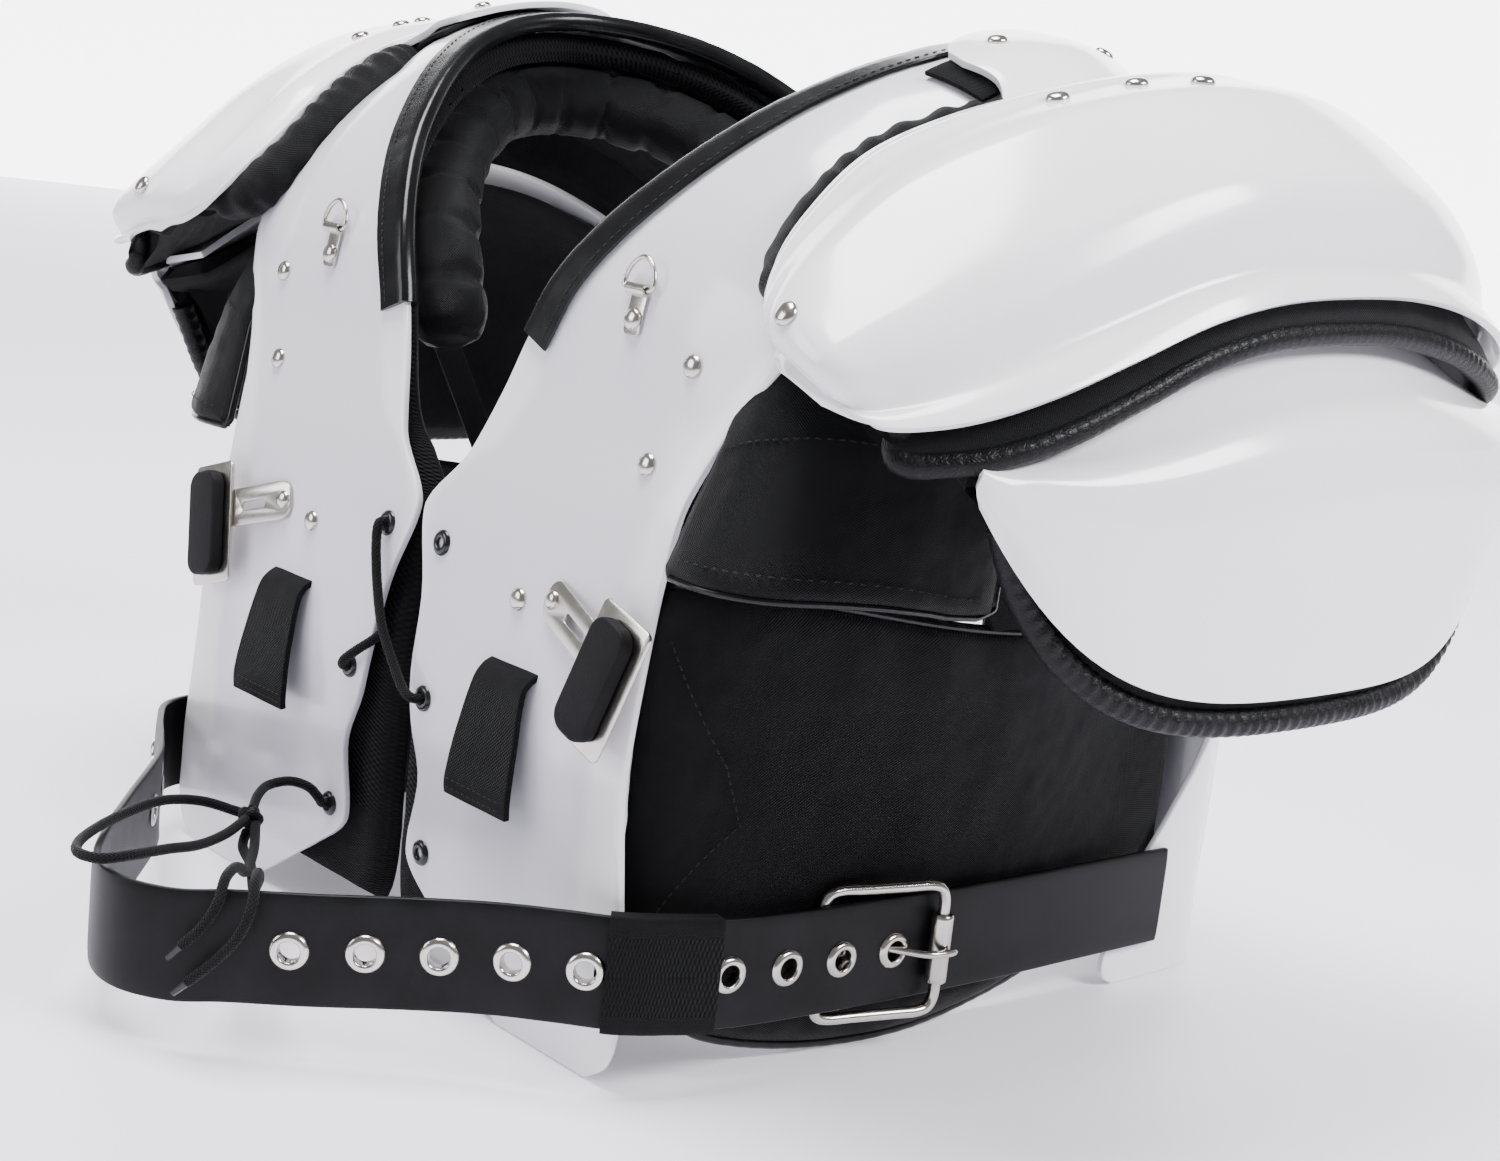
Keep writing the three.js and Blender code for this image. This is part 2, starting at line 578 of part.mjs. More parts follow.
// Quilted neck rolls, under the linings' neck edge
function neckRoll() {
  const from = station(0.64);
  const to = station(0.76, true);
  const points = Array.from({ length: 9 }, (_, i) => {
    const v = lerp(from, to, i / 8);
    return archPoint(archEdge(v, 'inner') + rollInset, v, liningDepth + liningThick + rollRadius - 0.5);
  });
  return rod(points, rollRadius * 2, 12, 8);
}
addPair('neck_roll', neckRoll(), 'nylon');

// Shoulder caps, their pads, the bridges that carry them and the hinge straps
addPair('shoulder_cap', hung(capSurface, 0, capWall, 7, 16), 'plate');
const capPadDepth = capWall + strapPlay + bridgeWall + padPlay;
const padOver = capPadEdge / capReach;
const padPast = capPadEdge / capHalfLength / 2;
addPair('cap_pad', hung(
  (u, v) => capSurface(lerp(-padOver * Math.abs(2 * v - 1), 1 + padOver, u), lerp(-padPast, 1 + padPast, v)),
  capPadDepth, pillow(capPadThick), 5, 12), 'nylon');

const bridgeFrom = 0.4;
const bridgeTo = 0.57;
const underCap = (u, v) => capSurface(u, v).addScaledVector(normalOf(capSurface, u, v), -capWall - strapPlay);
function bridgeSurface(u, v, lift) {
  const capAt = lerp(bridgeFrom, bridgeTo, v);
  const archAt = lerp(station(0.966), station(0.985, true), v);
  const outer = archEdge(archAt, 'outer');
  const path = new THREE.CatmullRomCurve3([
    archPoint(outer * 0.78, archAt, -lift),
    archPoint(outer * 0.9, archAt, -lift),
    archPoint(outer * 0.98, archAt, -lift),
    underCap(0, capAt),
    underCap(0.06, capAt),
    underCap(0.12, capAt),
    underCap(0.18, capAt),
  ]);
  return path.getPoint(clamp(u, 0, 1));
}
const bridgeLift = strapPlay + hingeStrapWall + strapPlay + bridgeWall;
addPair('bridge_plate', hung((u, v) => bridgeSurface(u, v, bridgeLift), 0, bridgeWall, 8, 5), 'plate');
addPair('hinge_strap', wall((u, v, w) => {
  const at = lerp(station(0.958), station(0.979, true), v);
  const across = lerp(0.84, 0.99, u) * archEdge(at, 'outer');
  return archPoint(across, at, -strapPlay - hingeStrapWall * (1 - w));
}, 3, 5), 'nylon');

// Deltoid cups and the pads inside them
addPair('deltoid_cup', hung(cupSurface, 0, cupWall, 10, 4), 'plate');
function cupPadSurface(u, v) {
  const hang = cupPadHang / cupHeight * Math.max(0, 1 - 4 * v);
  const short = cupPadShort * Math.max(0, 4 * v - 3);
  return cupSurface(u, v - hang - short);
}
addPair('deltoid_pad', hung(cupPadSurface, cupWall + cupPadPlay, pillow(cupPadThick), 10, 4), 'nylon');

// Arm flaps beside the chest plates' outer edges: plan shares of flapReach beyond the edge and of frontDepth
const flapRows = [
  { lowX: 0.02, lowY: -0.955, highX: 0.16, highY: -0.86, highZ: 0.8 },
  { lowX: 0.4, lowY: -0.965, highX: 0.4, highY: -0.845, highZ: 0.93 },
  { lowX: 0.72, lowY: -0.9, highX: 0.64, highY: -0.785, highZ: 1.0 },
  { lowX: 0.92, lowY: -0.75, highX: 0.8, highY: -0.65, highZ: 1.06 },
  { lowX: 1.0, lowY: -0.55, highX: 0.9, highY: -0.5, highZ: 1.12 },
  { lowX: 1.0, lowY: -0.4, highX: 0.94, highY: -0.37, highZ: 1.18 },
];
const flapLow = sidePadHeight + 6;
function flapSurface(u, v) {
  const edge = 0.93 * chestHalf + gap;
  const low = vec(edge + column(flapRows, u, 'lowX', flapReach), column(flapRows, u, 'lowY', frontDepth), flapLow);
  const high = vec(
    edge + column(flapRows, u, 'highX', flapReach),
    column(flapRows, u, 'highY', frontDepth),
    flapLow + column(flapRows, u, 'highZ', flapHeight),
  );
  return low.lerp(high, v);
}
addPair('arm_flap', hung(flapSurface, 0, pillow(flapThick), 6, 3), 'nylon');

// Side pads between the chest plate and the back plate's wing
function sideSurface(u, v) {
  const low = column(sideRows, u, 'low', sidePadHeight);
  const high = column(sideRows, u, 'high', sidePadHeight);
  return vec(column(sideRows, u, 'x', chestHalf), column(sideRows, u, 'y', frontDepth), lerp(low, high, v));
}
addPair('side_pad', hung(sideSurface, 0, pillow(sidePadThick), 12, 4), 'nylon');

// The belt with its row of eyelet holes
const prongShare = beltShareAt(-0.21 * frontDepth);
const rollerShare = beltShareFrom(prongShare, 20);
const eyeletShares = [prongShare];
for (let i = 1; i < eyeletCount; i += 1) eyeletShares.push(beltShareFrom(eyeletShares[i - 1], -eyeletPitch));
eyeletShares.push(beltShareFrom(prongShare, -farEyeletStart));
for (let i = 0; i < farEyeletCount - 1; i += 1) eyeletShares.push(beltShareFrom(eyeletShares.at(-1), -eyeletPitch));
function belt() {
  const strip = wall((u, v, w) => beltPoint(u, (1 - w) * beltWall, (v - 0.5) * beltWidth), 54, 1);
  const punches = eyeletShares.map((share) => {
    const { point, along, outward } = beltFrame(share);
    const punch = new THREE.CylinderGeometry(eyeletRadius, eyeletRadius, beltWall * 4, 6);
    return placed(punch, point.clone().addScaledVector(outward, beltWall / 2),
      along, outward, along.clone().cross(outward));
  });
  return cut(strip, ...punches);
}
add('belt', belt(), 'vinyl');

// The strap that holds the buckle's bar, and the keeper round both
const barShare = beltShareFrom(prongShare, -(buckleLength - 20));
const keeperTo = beltShareFrom(barShare, -keeperSetBack);
const strapFrom = beltShareFrom(keeperTo, -keeperLength - 4);
const strapTo = beltShareFrom(barShare, -buckleWire / 2 - gap - 0.4);
add('buckle_strap', wall((u, v, w) => beltPoint(
  lerp(strapFrom, strapTo, u), -gap - w * buckleStrapWall, (v - 0.5) * (beltWidth - 6)), 14, 1), 'nylon');
const keeperFrom = beltShareFrom(keeperTo, -keeperLength);
function sleeve(reach) {
  const low = -gap - buckleStrapWall - gap - reach;
  const high = beltWall + gap + reach;
  const half = beltWidth / 2 + gap + reach;
  const over = reach > 0 ? 0 : 0.004;
  return wall((u, v, w) => beltPoint(
    lerp(keeperFrom - over, keeperTo + over, u), lerp(high, low, w), lerp(-half, half, v)), 10, 1);
}
add('belt_keeper', cut(sleeve(keeperWall), sleeve(0)), 'nylon');

// Buckle: a wire frame round the belt, its bar under the belt and its roller over it
const barCentre = -gap - buckleWire / 2;
const rollerCentre = beltWall + gap + rollerRadius;
const buckleHalf = beltWidth / 2 + gap + buckleWire / 2 + 2;
function buckleFrame() {
  const bar = beltPoint(barShare, barCentre, 0);
  const roller = beltPoint(rollerShare, rollerCentre, 0);
  const along = roller.clone().sub(bar);
  const corner = 0.14;
  const outline = [[0, 0], [0, 0.75], [corner * 0.3, 0.94], [corner, 1], [0.5, 1], [1 - corner, 1],
    [1 - corner * 0.3, 0.94], [1, 0.75], [1, 0.4], [1, 0], [1, -0.4], [1, -0.75], [1 - corner * 0.3, -0.94], [1 - corner, -1],
    [0.5, -1], [corner, -1], [corner * 0.3, -0.94], [0, -0.75]];
  return loop(outline.map(([share, height]) => bar.clone().addScaledVector(along, share)
    .add(vec(0, 0, height * buckleHalf))), buckleWire, 32, 6);
}
add('buckle_frame', buckleFrame(), 'nickel');

function buckleRoller() {
  const bore = buckleWire / 2 + gap;
  const half = beltWidth * 0.32;
  const outline = [[bore, -half], [rollerRadius, -half], [rollerRadius, half], [bore, half], [bore, -half]];
  const ring = new THREE.LatheGeometry(outline.map(([r, h]) => new THREE.Vector2(r, h)), 12);
  const { along, outward } = beltFrame(rollerShare);
  return placed(ring, beltPoint(rollerShare, rollerCentre, 0), along, vec(0, 0, 1), outward);
}
add('buckle_roller', buckleRoller(), 'nickel');

function buckleProng() {
  const high = rollerCentre + rollerRadius + prongWire / 2 + gap;
  const barSide = beltShareFrom(barShare, buckleWire / 2 + prongWire / 2 + gap);
  return rod([
    beltPoint(barSide, barCentre, 0),
    beltPoint(beltShareFrom(prongShare, -5.5), barCentre, 0),
    beltPoint(prongShare, beltWall / 2, 0),
    beltPoint(beltShareFrom(prongShare, 9), high - 2.5, 0),
    beltPoint(beltShareFrom(rollerShare, -4), high, 0),
    beltPoint(beltShareFrom(rollerShare, 3), high, 0),
  ], prongWire, 9, 6);
}
add('buckle_prong', buckleProng(), 'nickel');

// Hooks: a slotted bracket on the plate that carries a flat plate with a rubber insert
const hookTilt = 0.3;
const bracketTilt = -0.62;
function turnedAxes({ along, side }, tilt) {
  const down = along.clone().multiplyScalar(-Math.cos(tilt)).addScaledVector(side, -Math.sin(tilt));
  const across = side.clone().multiplyScalar(Math.cos(tilt)).addScaledVector(along, -Math.sin(tilt));
  return { down, across };
}
const hookFrame = onChest(hookPlace);
const bracketAxes = turnedAxes(hookFrame, bracketTilt - Math.PI / 5);
const plateAxes = turnedAxes(hookFrame, hookTilt);
const hookStart = hookFrame.point.clone();
const hookRise = 6;
function hook() {
  const { normal } = hookFrame;
  const reach = bracketAxes.down;
  const lean = reach.clone().multiplyScalar(bracketLength).addScaledVector(normal, hookRise).normalize();
  const face = lean.clone().cross(reach.clone().cross(normal)).normalize().negate();
  const across = lean.clone().cross(face).normalize();
  const middle = hookStart.clone().addScaledVector(lean, bracketLength / 2 - bracketWidth / 4)
    .addScaledVector(normal, hookWall / 2 + gap + hookRise * 0.05);
  const bracket = placed(new THREE.BoxGeometry(bracketWidth, bracketLength, hookWall), middle, across, lean, face);
  const slit = placed(new THREE.BoxGeometry(bracketWidth * 0.22, bracketLength * 0.36, hookWall * 4),
    middle.clone().addScaledVector(lean, bracketLength * 0.06), across, lean, face);
  return cut(join(bracket, hookPlate()), slit);
}
const hookCentre = hookStart.clone()
  .addScaledVector(hookFrame.side, 0.265 * chestHalf)
  .addScaledVector(hookFrame.along, -0.052 * archHeight)
  .addScaledVector(hookFrame.normal, hookRise + hookWall);
const plateNormal = plateAxes.across.clone().cross(plateAxes.down).negate();
function hookPlate() {
  const plate = new THREE.BoxGeometry(hookPlateWidth, hookPlateLength, hookWall);
  return placed(plate, hookCentre, plateAxes.across, plateAxes.down.clone().negate(), plateNormal);
}
addPair('hook', hook(), 'nickel');
function hookInsert() {
  const half = hookPlateWidth * 0.34;
  const long = hookPlateLength * 0.43;
  const round = half * 0.7;
  const shape = new THREE.Shape();
  shape.moveTo(-half + round, -long);
  shape.lineTo(half - round, -long);
  shape.absarc(half - round, -long + round, round, -Math.PI / 2, 0);
  shape.lineTo(half, long - round);
  shape.absarc(half - round, long - round, round, 0, Math.PI / 2);
  shape.lineTo(-half + round, long);
  shape.absarc(-half + round, long - round, round, Math.PI / 2, Math.PI);
  shape.lineTo(-half, -long + round);
  shape.absarc(-half + round, -long + round, round, Math.PI, Math.PI * 1.5);
  const pad = new THREE.ExtrudeGeometry(shape, { depth: insertThick, bevelEnabled: false, curveSegments: 3 });
  const base = hookCentre.clone().addScaledVector(plateNormal, hookWall / 2 + gap);
  return placed(pad, base, plateAxes.across, plateAxes.down.clone().negate(), plateNormal);
}
addPair('hook_insert', hookInsert(), 'rubber');

// Webbing tabs that hang out of the chest plate's slots: shares of tabLength down and out
const tabRows = [
  { down: -0.05, out: -0.02, left: -0.46, right: 0.46 },
  { down: 0.02, out: 0.07, left: -0.46, right: 0.46 },
  { down: 0.14, out: 0.12, left: -0.48, right: 0.47 },
  { down: 0.5, out: 0.14, left: -0.54, right: 0.56 },
  { down: 0.85, out: 0.13, left: -0.6, right: 0.62 },
  { down: 1.0, out: 0.1, left: -0.6, right: 0.62 },
];
const slotFrame = onChest(slotPlace);
function webTab() {
  const surface = (u, v) => {
    const t = 1 - v;
    const left = column(tabRows, t, 'left', slotWidth);
    const right = column(tabRows, t, 'right', slotWidth);
    return slotFrame.point.clone()
      .addScaledVector(slotFrame.side, lerp(left, right, u))
      .addScaledVector(slotFrame.along, -column(tabRows, t, 'down', tabLength))
      .addScaledVector(slotFrame.normal, column(tabRows, t, 'out', tabLength));
  };
  return hung(surface, 0, tabWall, 2, 8);
}
addPair('web_tab', webTab(), 'nylon');

// Ring clips riveted to the chest plate, and the small rings hinged in them
const ringFrame = onChest(ringPlace);
const barLift = clipWall + gap + ringWire / 2;
const ringBar = ringFrame.point.clone()
  .addScaledVector(ringFrame.along, clipLength * 0.5)
  .addScaledVector(ringFrame.normal, gap + barLift);
function ringClip() {
  const { point, normal, along, side } = ringFrame;
  const leaf = placed(new THREE.BoxGeometry(clipWidth, clipLength, clipWall),
    point.clone().addScaledVector(normal, gap + clipWall / 2), side, along, normal);
  const bore = ringWire / 2 + gap;
  const outline = [[bore, -0.5], [bore + clipWall, -0.5], [bore + clipWall, 0.5], [bore, 0.5], [bore, -0.5]];
  const eye = new THREE.LatheGeometry(outline.map(([r, h]) => new THREE.Vector2(r, h * clipWidth * 0.6)), 12);
  return join(leaf, placed(eye, ringBar, along, side, normal.clone().negate()));
}
addPair('ring_clip', ringClip(), 'nickel');
const ringRows = [[0, 0], [0.3, 0], [0.46, 0.04], [0.5, 0.2], [0.42, 0.6], [0.24, 0.9], [0, 1],
  [-0.24, 0.9], [-0.42, 0.6], [-0.5, 0.2], [-0.46, 0.04], [-0.3, 0]];
addPair('d_ring', loop(ringRows.map(([across, up]) => ringBar.clone()
  .addScaledVector(ringFrame.side, across * ringWidth)
  .addScaledVector(ringFrame.along, up * ringHeight)), ringWire, 20, 6), 'nickel');

// Straps across the gap between the back plates
const links = [{ name: 'back_link_upper', z: 0.5, play: 0 }, { name: 'back_link_lower', z: 0.16, play: 0.6 }];
links.forEach(({ name, z, play }) => {
  const v = station(z, true);
  const { point, normal, along } = archFrame(0, v);
  const reach = archEdge(v, 'inner') + 34;
  const strap = new THREE.BoxGeometry(reach * 2, linkWidth, linkWall);
  const { y: lean } = archFrame(0, station(z + linkWidth / 2 / archHeight, true)).point;
  const lift = play + linkWall / 2 - gap + Math.max(0, point.y - lean) * 0.1;
  add(name, placed(strap, point.addScaledVector(normal, lift + 0.2), vec(-1, 0, 0), along.negate(), normal), 'nylon');
});

// Straps across the arm openings, from the arch lining to the side pad's top
function armStrap() {
  const top = archPoint(0.98 * chestHalf, station(0.85), liningDepth + liningThick + 7);
  const foot = sideSurface(0.62, 1).add(vec(-sidePadThick * 0.25, 0, 1.5));
  return wall((u, v, w) => {
    const centre = foot.clone().lerp(top, v);
    return centre.add(vec(-w * armStrapWall, (u - 0.5) * armStrapWidth, 0));
  }, 1, 4);
}
addPair('arm_strap', armStrap(), 'nylon');

// The laces' routes are points chosen by hand, in mm from the middle plane, the floor and y = 0.
const laceUpper = [
  [-19.8, -141.6, 174.3], [-19.8, -145.8, 174.6], [-18.2, -147.5, 166], [-12, -149.5, 150], [-2, -152.5, 136],
  [10, -154, 124], [20, -155.2, 116], [25.8, -154.8, 113.6], [27.2, -151.3, 113.1], [27.2, -148.5, 113.1],
];
const laceLower = [
  [-27.2, -148.5, 113.1], [-26.8, -153.4, 113.6], [-23.4, -155.2, 117], [-17, -153.5, 122.5],
  [-11, -150, 128], [-7.5, -146.9, 132.5],
];
const laceTail = [
  [-34.6, -148.5, 51.1], [-34.6, -153.6, 51.6], [-33.2, -156.8, 55], [-34.5, -161, 59.5], [-38, -168, 61.8],
  [-38, -178, 61.2], [-31.5, -186.5, 59.8], [-22.6, -194, 57.3],
];
const laceBow = [
  [-23.3, -199.2, 56.6], [-32, -212, 60.3], [-31, -230, 63], [-22, -250, 63.2], [-10, -268, 63.2],
  [2, -281, 63.2], [13, -286.5, 63.2], [22, -282, 63.2], [21.5, -269, 62.6], [14, -251, 60],
  [5.5, -233, 56.5], [-4.5, -216, 55.5], [-15.8, -200.8, 56.1],
];
const laceEndShort = [
  [-14.3, -197, 53.8], [4, -208, 50.5], [28, -225, 52], [48, -240, 62], [60, -249.5, 66.8],
  [68.5, -257.5, 66.8], [73.2, -262.6, 60], [70.5, -266.5, 51], [64.5, -271, 42.5],
];
const laceEndLong = [
  [-17.6, -199, 50.3], [-12, -203.5, 46], [4, -209, 44.5], [34, -225, 47], [58, -237.5, 60], [68, -244, 67], [77.5, -250.5, 67.2],
  [83.8, -255.3, 60], [81.5, -258.8, 49], [75, -264, 38.5], [67.5, -269.5, 29.5],
];
const knotPlace = [-19, -197, 55.5];
const knotRadius = 4.4;
const lacePaths = {
  lace_upper: laceUpper,
  lace_lower: laceLower,
  lace_tail: laceTail,
  lace_bow: laceBow,
  lace_end_short: laceEndShort,
  lace_end_long: laceEndLong,
};
Object.entries(lacePaths).forEach(([name, points]) => {
  const steps = Math.round(new THREE.CatmullRomCurve3(points.map((p) => vec(...p))).getLength() / laceDiameter / 2.4);
  add(name, rod(points.map((p) => vec(...p)), laceDiameter, steps), 'nylon');
});

const knot = new THREE.SphereGeometry(knotRadius, 10, 7);
add('lace_knot', placed(knot, vec(...knotPlace), vec(1, 0, 0), vec(0, 1, 0), vec(0, 0, 1)), 'nylon');

// The origin is the middle of the base, measured without the laces.
const bounds = new THREE.Box3();
model.children.forEach((mesh) => {
  if (!mesh.name.startsWith('lace_')) bounds.expandByObject(mesh);
});
const centre = bounds.getCenter(vec(0, 0, 0));
model.position.set(-centre.x, -centre.y, -bounds.min.z);

export default model;
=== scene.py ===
# Football shoulder pads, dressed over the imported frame.
import bpy
import bmesh
import json
import math
from mathutils import Matrix, Vector, noise


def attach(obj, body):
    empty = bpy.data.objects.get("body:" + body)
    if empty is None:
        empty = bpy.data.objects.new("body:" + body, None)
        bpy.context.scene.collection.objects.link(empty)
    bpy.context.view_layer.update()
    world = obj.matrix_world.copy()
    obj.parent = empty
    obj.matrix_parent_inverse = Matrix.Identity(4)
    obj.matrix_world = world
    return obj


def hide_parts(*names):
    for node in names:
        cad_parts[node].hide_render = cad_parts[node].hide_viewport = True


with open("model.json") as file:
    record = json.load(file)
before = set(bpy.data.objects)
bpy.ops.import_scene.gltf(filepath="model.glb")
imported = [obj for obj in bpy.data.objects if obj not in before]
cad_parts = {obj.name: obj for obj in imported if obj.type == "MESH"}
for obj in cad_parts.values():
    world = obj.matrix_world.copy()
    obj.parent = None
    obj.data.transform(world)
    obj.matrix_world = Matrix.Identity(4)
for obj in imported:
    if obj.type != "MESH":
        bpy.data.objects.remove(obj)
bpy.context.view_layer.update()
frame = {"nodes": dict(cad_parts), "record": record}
print("frame loaded")

# Sizes in mm. X runs to the wearer's left, -Y to the front, Z up.
shiftY = 35.409
archSize = {"height": 390, "frontDepth": 150, "backDepth": 205, "chestHalf": 165, "wall": 3, "bendFrom": 0.79}
capSize = {"halfLength": 183, "reach": 125, "drop": 123, "startX": 178, "middleY": 32, "topZ": 385,
           "wall": 3, "crown": 15, "ridge": 7, "padThick": 9, "padEdge": 9}
cupSize = {"centreX": 200, "centreY": 45, "halfWidth": 112, "halfLength": 224, "halfAngle": 47,
           "middleZ": 238, "lowZ": 171, "wall": 3, "padThick": 10, "height": 125}
beltSize = {"width": 43, "wall": 3, "middleZ": 39, "pitch": 26.8, "front": 10, "farStart": 454, "far": 4}
sideSize = {"height": 186, "thick": 13}
flapSize = {"lowZ": 192, "width": 64, "height": 60, "thick": 6}
tabSize = {"width": 33, "length": 54, "wall": 2.6}

archRowsColumns = ("y", "z", "inner", "outer", "bend", "padIn", "padOut")
archRows = [
    (-1, 0, 0.56, 0.9, 0.05, 0.3, 0.83),
    (-1, 0.018, 0.49, 0.96, 0.05, 0.1, 0.83),
    (-1, 0.049, 0.376, 0.988, 0.05, 0.04, 0.83),
    (-1, 0.08, 0.26, 0.986, 0.05, 0.02, 0.83),
    (-1, 0.11, 0.16, 0.984, 0.05, 0.015, 0.83),
    (-1, 0.138, 0.14, 0.98, 0.05, 0.015, 0.83),
    (-1, 0.205, 0.167, 0.957, 0.05, 0.015, 0.83),
    (-1, 0.26, 0.118, 0.94, 0.05, 0.015, 0.83),
    (-0.995, 0.313, 0.094, 0.933, 0.05, 0.015, 0.83),
    (-0.965, 0.392, 0.075, 0.924, 0.08, 0.015, 0.83),
    (-0.938, 0.462, 0.018, 0.921, 0.1, 0.015, 0.83),
    (-0.926, 0.492, 0.03, 0.923, 0.15, 0.03, 0.84),
    (-0.907, 0.533, 0.125, 0.927, 0.2, 0.13, 0.86),
    (-0.89, 0.562, 0.163, 0.939, 0.3, 0.22, 0.89),
    (-0.86, 0.615, 0.212, 0.99, 0.5, 0.3, 0.94),
    (-0.837, 0.672, 0.262, 1.07, 0.7, 0.35, 1.02),
    (-0.81, 0.731, 0.327, 1.13, 0.9, 0.41, 1.08),
    (-0.75, 0.785, 0.412, 1.15, 1.2, 0.5, 1.1),
    (-0.66, 0.837, 0.509, 1.164, 1.5, 0.6, 1.12),
    (-0.553, 0.882, 0.594, 1.15, 1.8, 0.68, 1.13),
    (-0.433, 0.921, 0.673, 1.12, 2, 0.76, 1.11),
    (-0.293, 0.954, 0.745, 1.12, 2, 0.83, 1.11),
    (-0.133, 0.979, 0.794, 1.14, 2, 0.88, 1.11),
    (0.024, 0.993, 0.806, 1.14, 2, 0.89, 1.11),
    (0.122, 0.997, 0.782, 1.14, 2, 0.87, 1.11),
    (0.244, 0.993, 0.709, 1.14, 2, 0.79, 1.11),
    (0.351, 0.98, 0.612, 1.14, 2, 0.7, 1.11),
    (0.454, 0.956, 0.509, 1.15, 1.8, 0.6, 1.13),
    (0.556, 0.918, 0.4, 1.158, 1.6, 0.49, 1.12),
    (0.649, 0.872, 0.297, 1.14, 1.4, 0.39, 1.1),
    (0.737, 0.815, 0.212, 1.115, 1.3, 0.3, 1.07),
    (0.82, 0.744, 0.152, 1.08, 1.4, 0.2, 1.03),
    (0.893, 0.654, 0.109, 1.04, 1.8, 0.1, 0.98),
    (0.946, 0.551, 0.085, 1, 2.5, 0.04, 0.84),
    (0.98, 0.436, 0.073, 1.03, 3.1, 0.02, 0.84),
    (0.995, 0.308, 0.073, 1.15, 3.3, 0.02, 0.84),
    (0.995, 0.18, 0.073, 1.35, 3.3, 0.02, 0.84),
    (0.99, 0.103, 0.085, 1.46, 3.3, 0.03, 0.84),
    (0.99, 0.051, 0.133, 1.52, 3.3, 0.08, 0.84),
    (0.99, 0.015, 0.24, 1.53, 3.3, 0.2, 0.84),
    (0.99, 0, 0.36, 1.48, 3.3, 0.3, 0.85),
]

capRowsColumns = ("inX", "inY", "inDrop", "outX", "outY", "outDrop")
capRows = [
    (0.272, -0.989, 0.919, 0.464, -1.005, 0.976),
    (0.112, -0.945, 0.797, 0.632, -0.995, 0.996),
    (0.016, -0.88, 0.642, 0.736, -0.918, 0.984),
    (-0.016, -0.787, 0.488, 0.816, -0.82, 0.943),
    (0.008, -0.667, 0.317, 0.88, -0.689, 0.87),
    (0.096, -0.514, 0.187, 0.928, -0.536, 0.772),
    (0.2, -0.339, 0.089, 0.968, -0.366, 0.667),
    (0.264, -0.148, 0.024, 0.992, -0.175, 0.602),
    (0.28, 0.033, 0, 1, 0.044, 0.577),
    (0.264, 0.208, 0.024, 0.992, 0.262, 0.577),
    (0.208, 0.372, 0.098, 0.968, 0.47, 0.61),
    (0.136, 0.536, 0.236, 0.912, 0.656, 0.675),
    (0.072, 0.689, 0.431, 0.816, 0.809, 0.756),
    (0.064, 0.82, 0.642, 0.672, 0.918, 0.837),
    (0.216, 0.934, 0.821, 0.496, 0.962, 0.894),
]

sideRowsColumns = ("x", "y", "low", "high")
sideRows = [
    (0.85, -0.905, 0.17, 0.98),
    (0.93, -0.9, 0.16, 1),
    (0.985, -0.84, 0.13, 1),
    (1.03, -0.7, 0.07, 0.99),
    (1.06, -0.4, 0.02, 0.95),
    (1.08, -0.05, 0.01, 0.9),
    (1.083, 0.28, 0.05, 0.87),
    (1.07, 0.52, 0.1, 0.88),
    (1.05, 0.72, 0.18, 0.92),
    (1.045, 0.98, 0.3, 0.96),
]

beltRowsColumns = ("x", "y", "rise")
beltRows = [
    (-1.1, 0.93, 0),
    (-1.108, 0.6, 0),
    (-1.112, 0.2, 0),
    (-1.11, -0.15, 0),
    (-1.1, -0.45, 0),
    (-1.083, -0.72, 0),
    (-1.065, -0.9, 0),
    (-1.02, -1.03, 0),
    (-0.9, -1.12, 0),
    (-0.74, -1.21, 0),
    (-0.58, -1.31, 0),
    (-0.32, -1.54, 0),
    (-0.1, -1.73, 0),
    (0.06, -1.84, 0),
    (0.2, -1.86, 0),
    (0.32, -1.79, 0),
    (0.42, -1.69, 0.06),
    (0.54, -1.55, 0.1),
    (0.67, -1.37, 0.14),
    (0.79, -1.23, 0.18),
    (0.915, -1.125, 0.22),
    (1.004, -1.029, 0.22),
    (1.052, -0.911, 0.2),
    (1.085, -0.73, 0.15),
    (1.1, -0.45, 0.11),
    (1.112, -0.15, 0.09),
    (1.115, 0.2, 0.06),
    (1.108, 0.6, 0.03),
    (1.1, 0.93, 0),
]

flapRowsColumns = ("lowX", "lowY", "highX", "highY", "highZ")
flapRows = [
    (0.02, -0.955, 0.16, -0.86, 0.8),
    (0.4, -0.965, 0.4, -0.845, 0.93),
    (0.72, -0.9, 0.64, -0.785, 1),
    (0.92, -0.75, 0.8, -0.65, 1.06),
    (1, -0.55, 0.9, -0.5, 1.12),
    (1, -0.4, 0.94, -0.37, 1.18),
]

tabRowsColumns = ("down", "out", "left", "right")
tabRows = [
    (-0.05, -0.02, -0.46, 0.46),
    (0.02, 0.07, -0.46, 0.46),
    (0.14, 0.12, -0.48, 0.47),
    (0.5, 0.14, -0.54, 0.56),
    (0.85, 0.13, -0.6, 0.62),
    (1, 0.1, -0.6, 0.62),
]


def column(rows, columns, t, name, scale=1):
    # a column read at a share of the table's length, smoothed from row to row
    at = min(max(t, 0), 1) * (len(rows) - 1)
    row = min(int(at), len(rows) - 2)
    where = columns.index(name)
    value = lambda i: rows[min(max(i, 0), len(rows) - 1)][where]
    before, start, end, after = value(row - 1), value(row), value(row + 1), value(row + 2)
    w = at - row
    slopeA, slopeB = (end - before) / 2, (after - start) / 2
    cubic = (2 * start - 2 * end + slopeA + slopeB) * w ** 3
    square = (-3 * start + 3 * end - 2 * slopeA - slopeB) * w ** 2
    return scale * (cubic + square + slopeA * w + start)


def lerp(a, b, t):
    return a + (b - a) * t


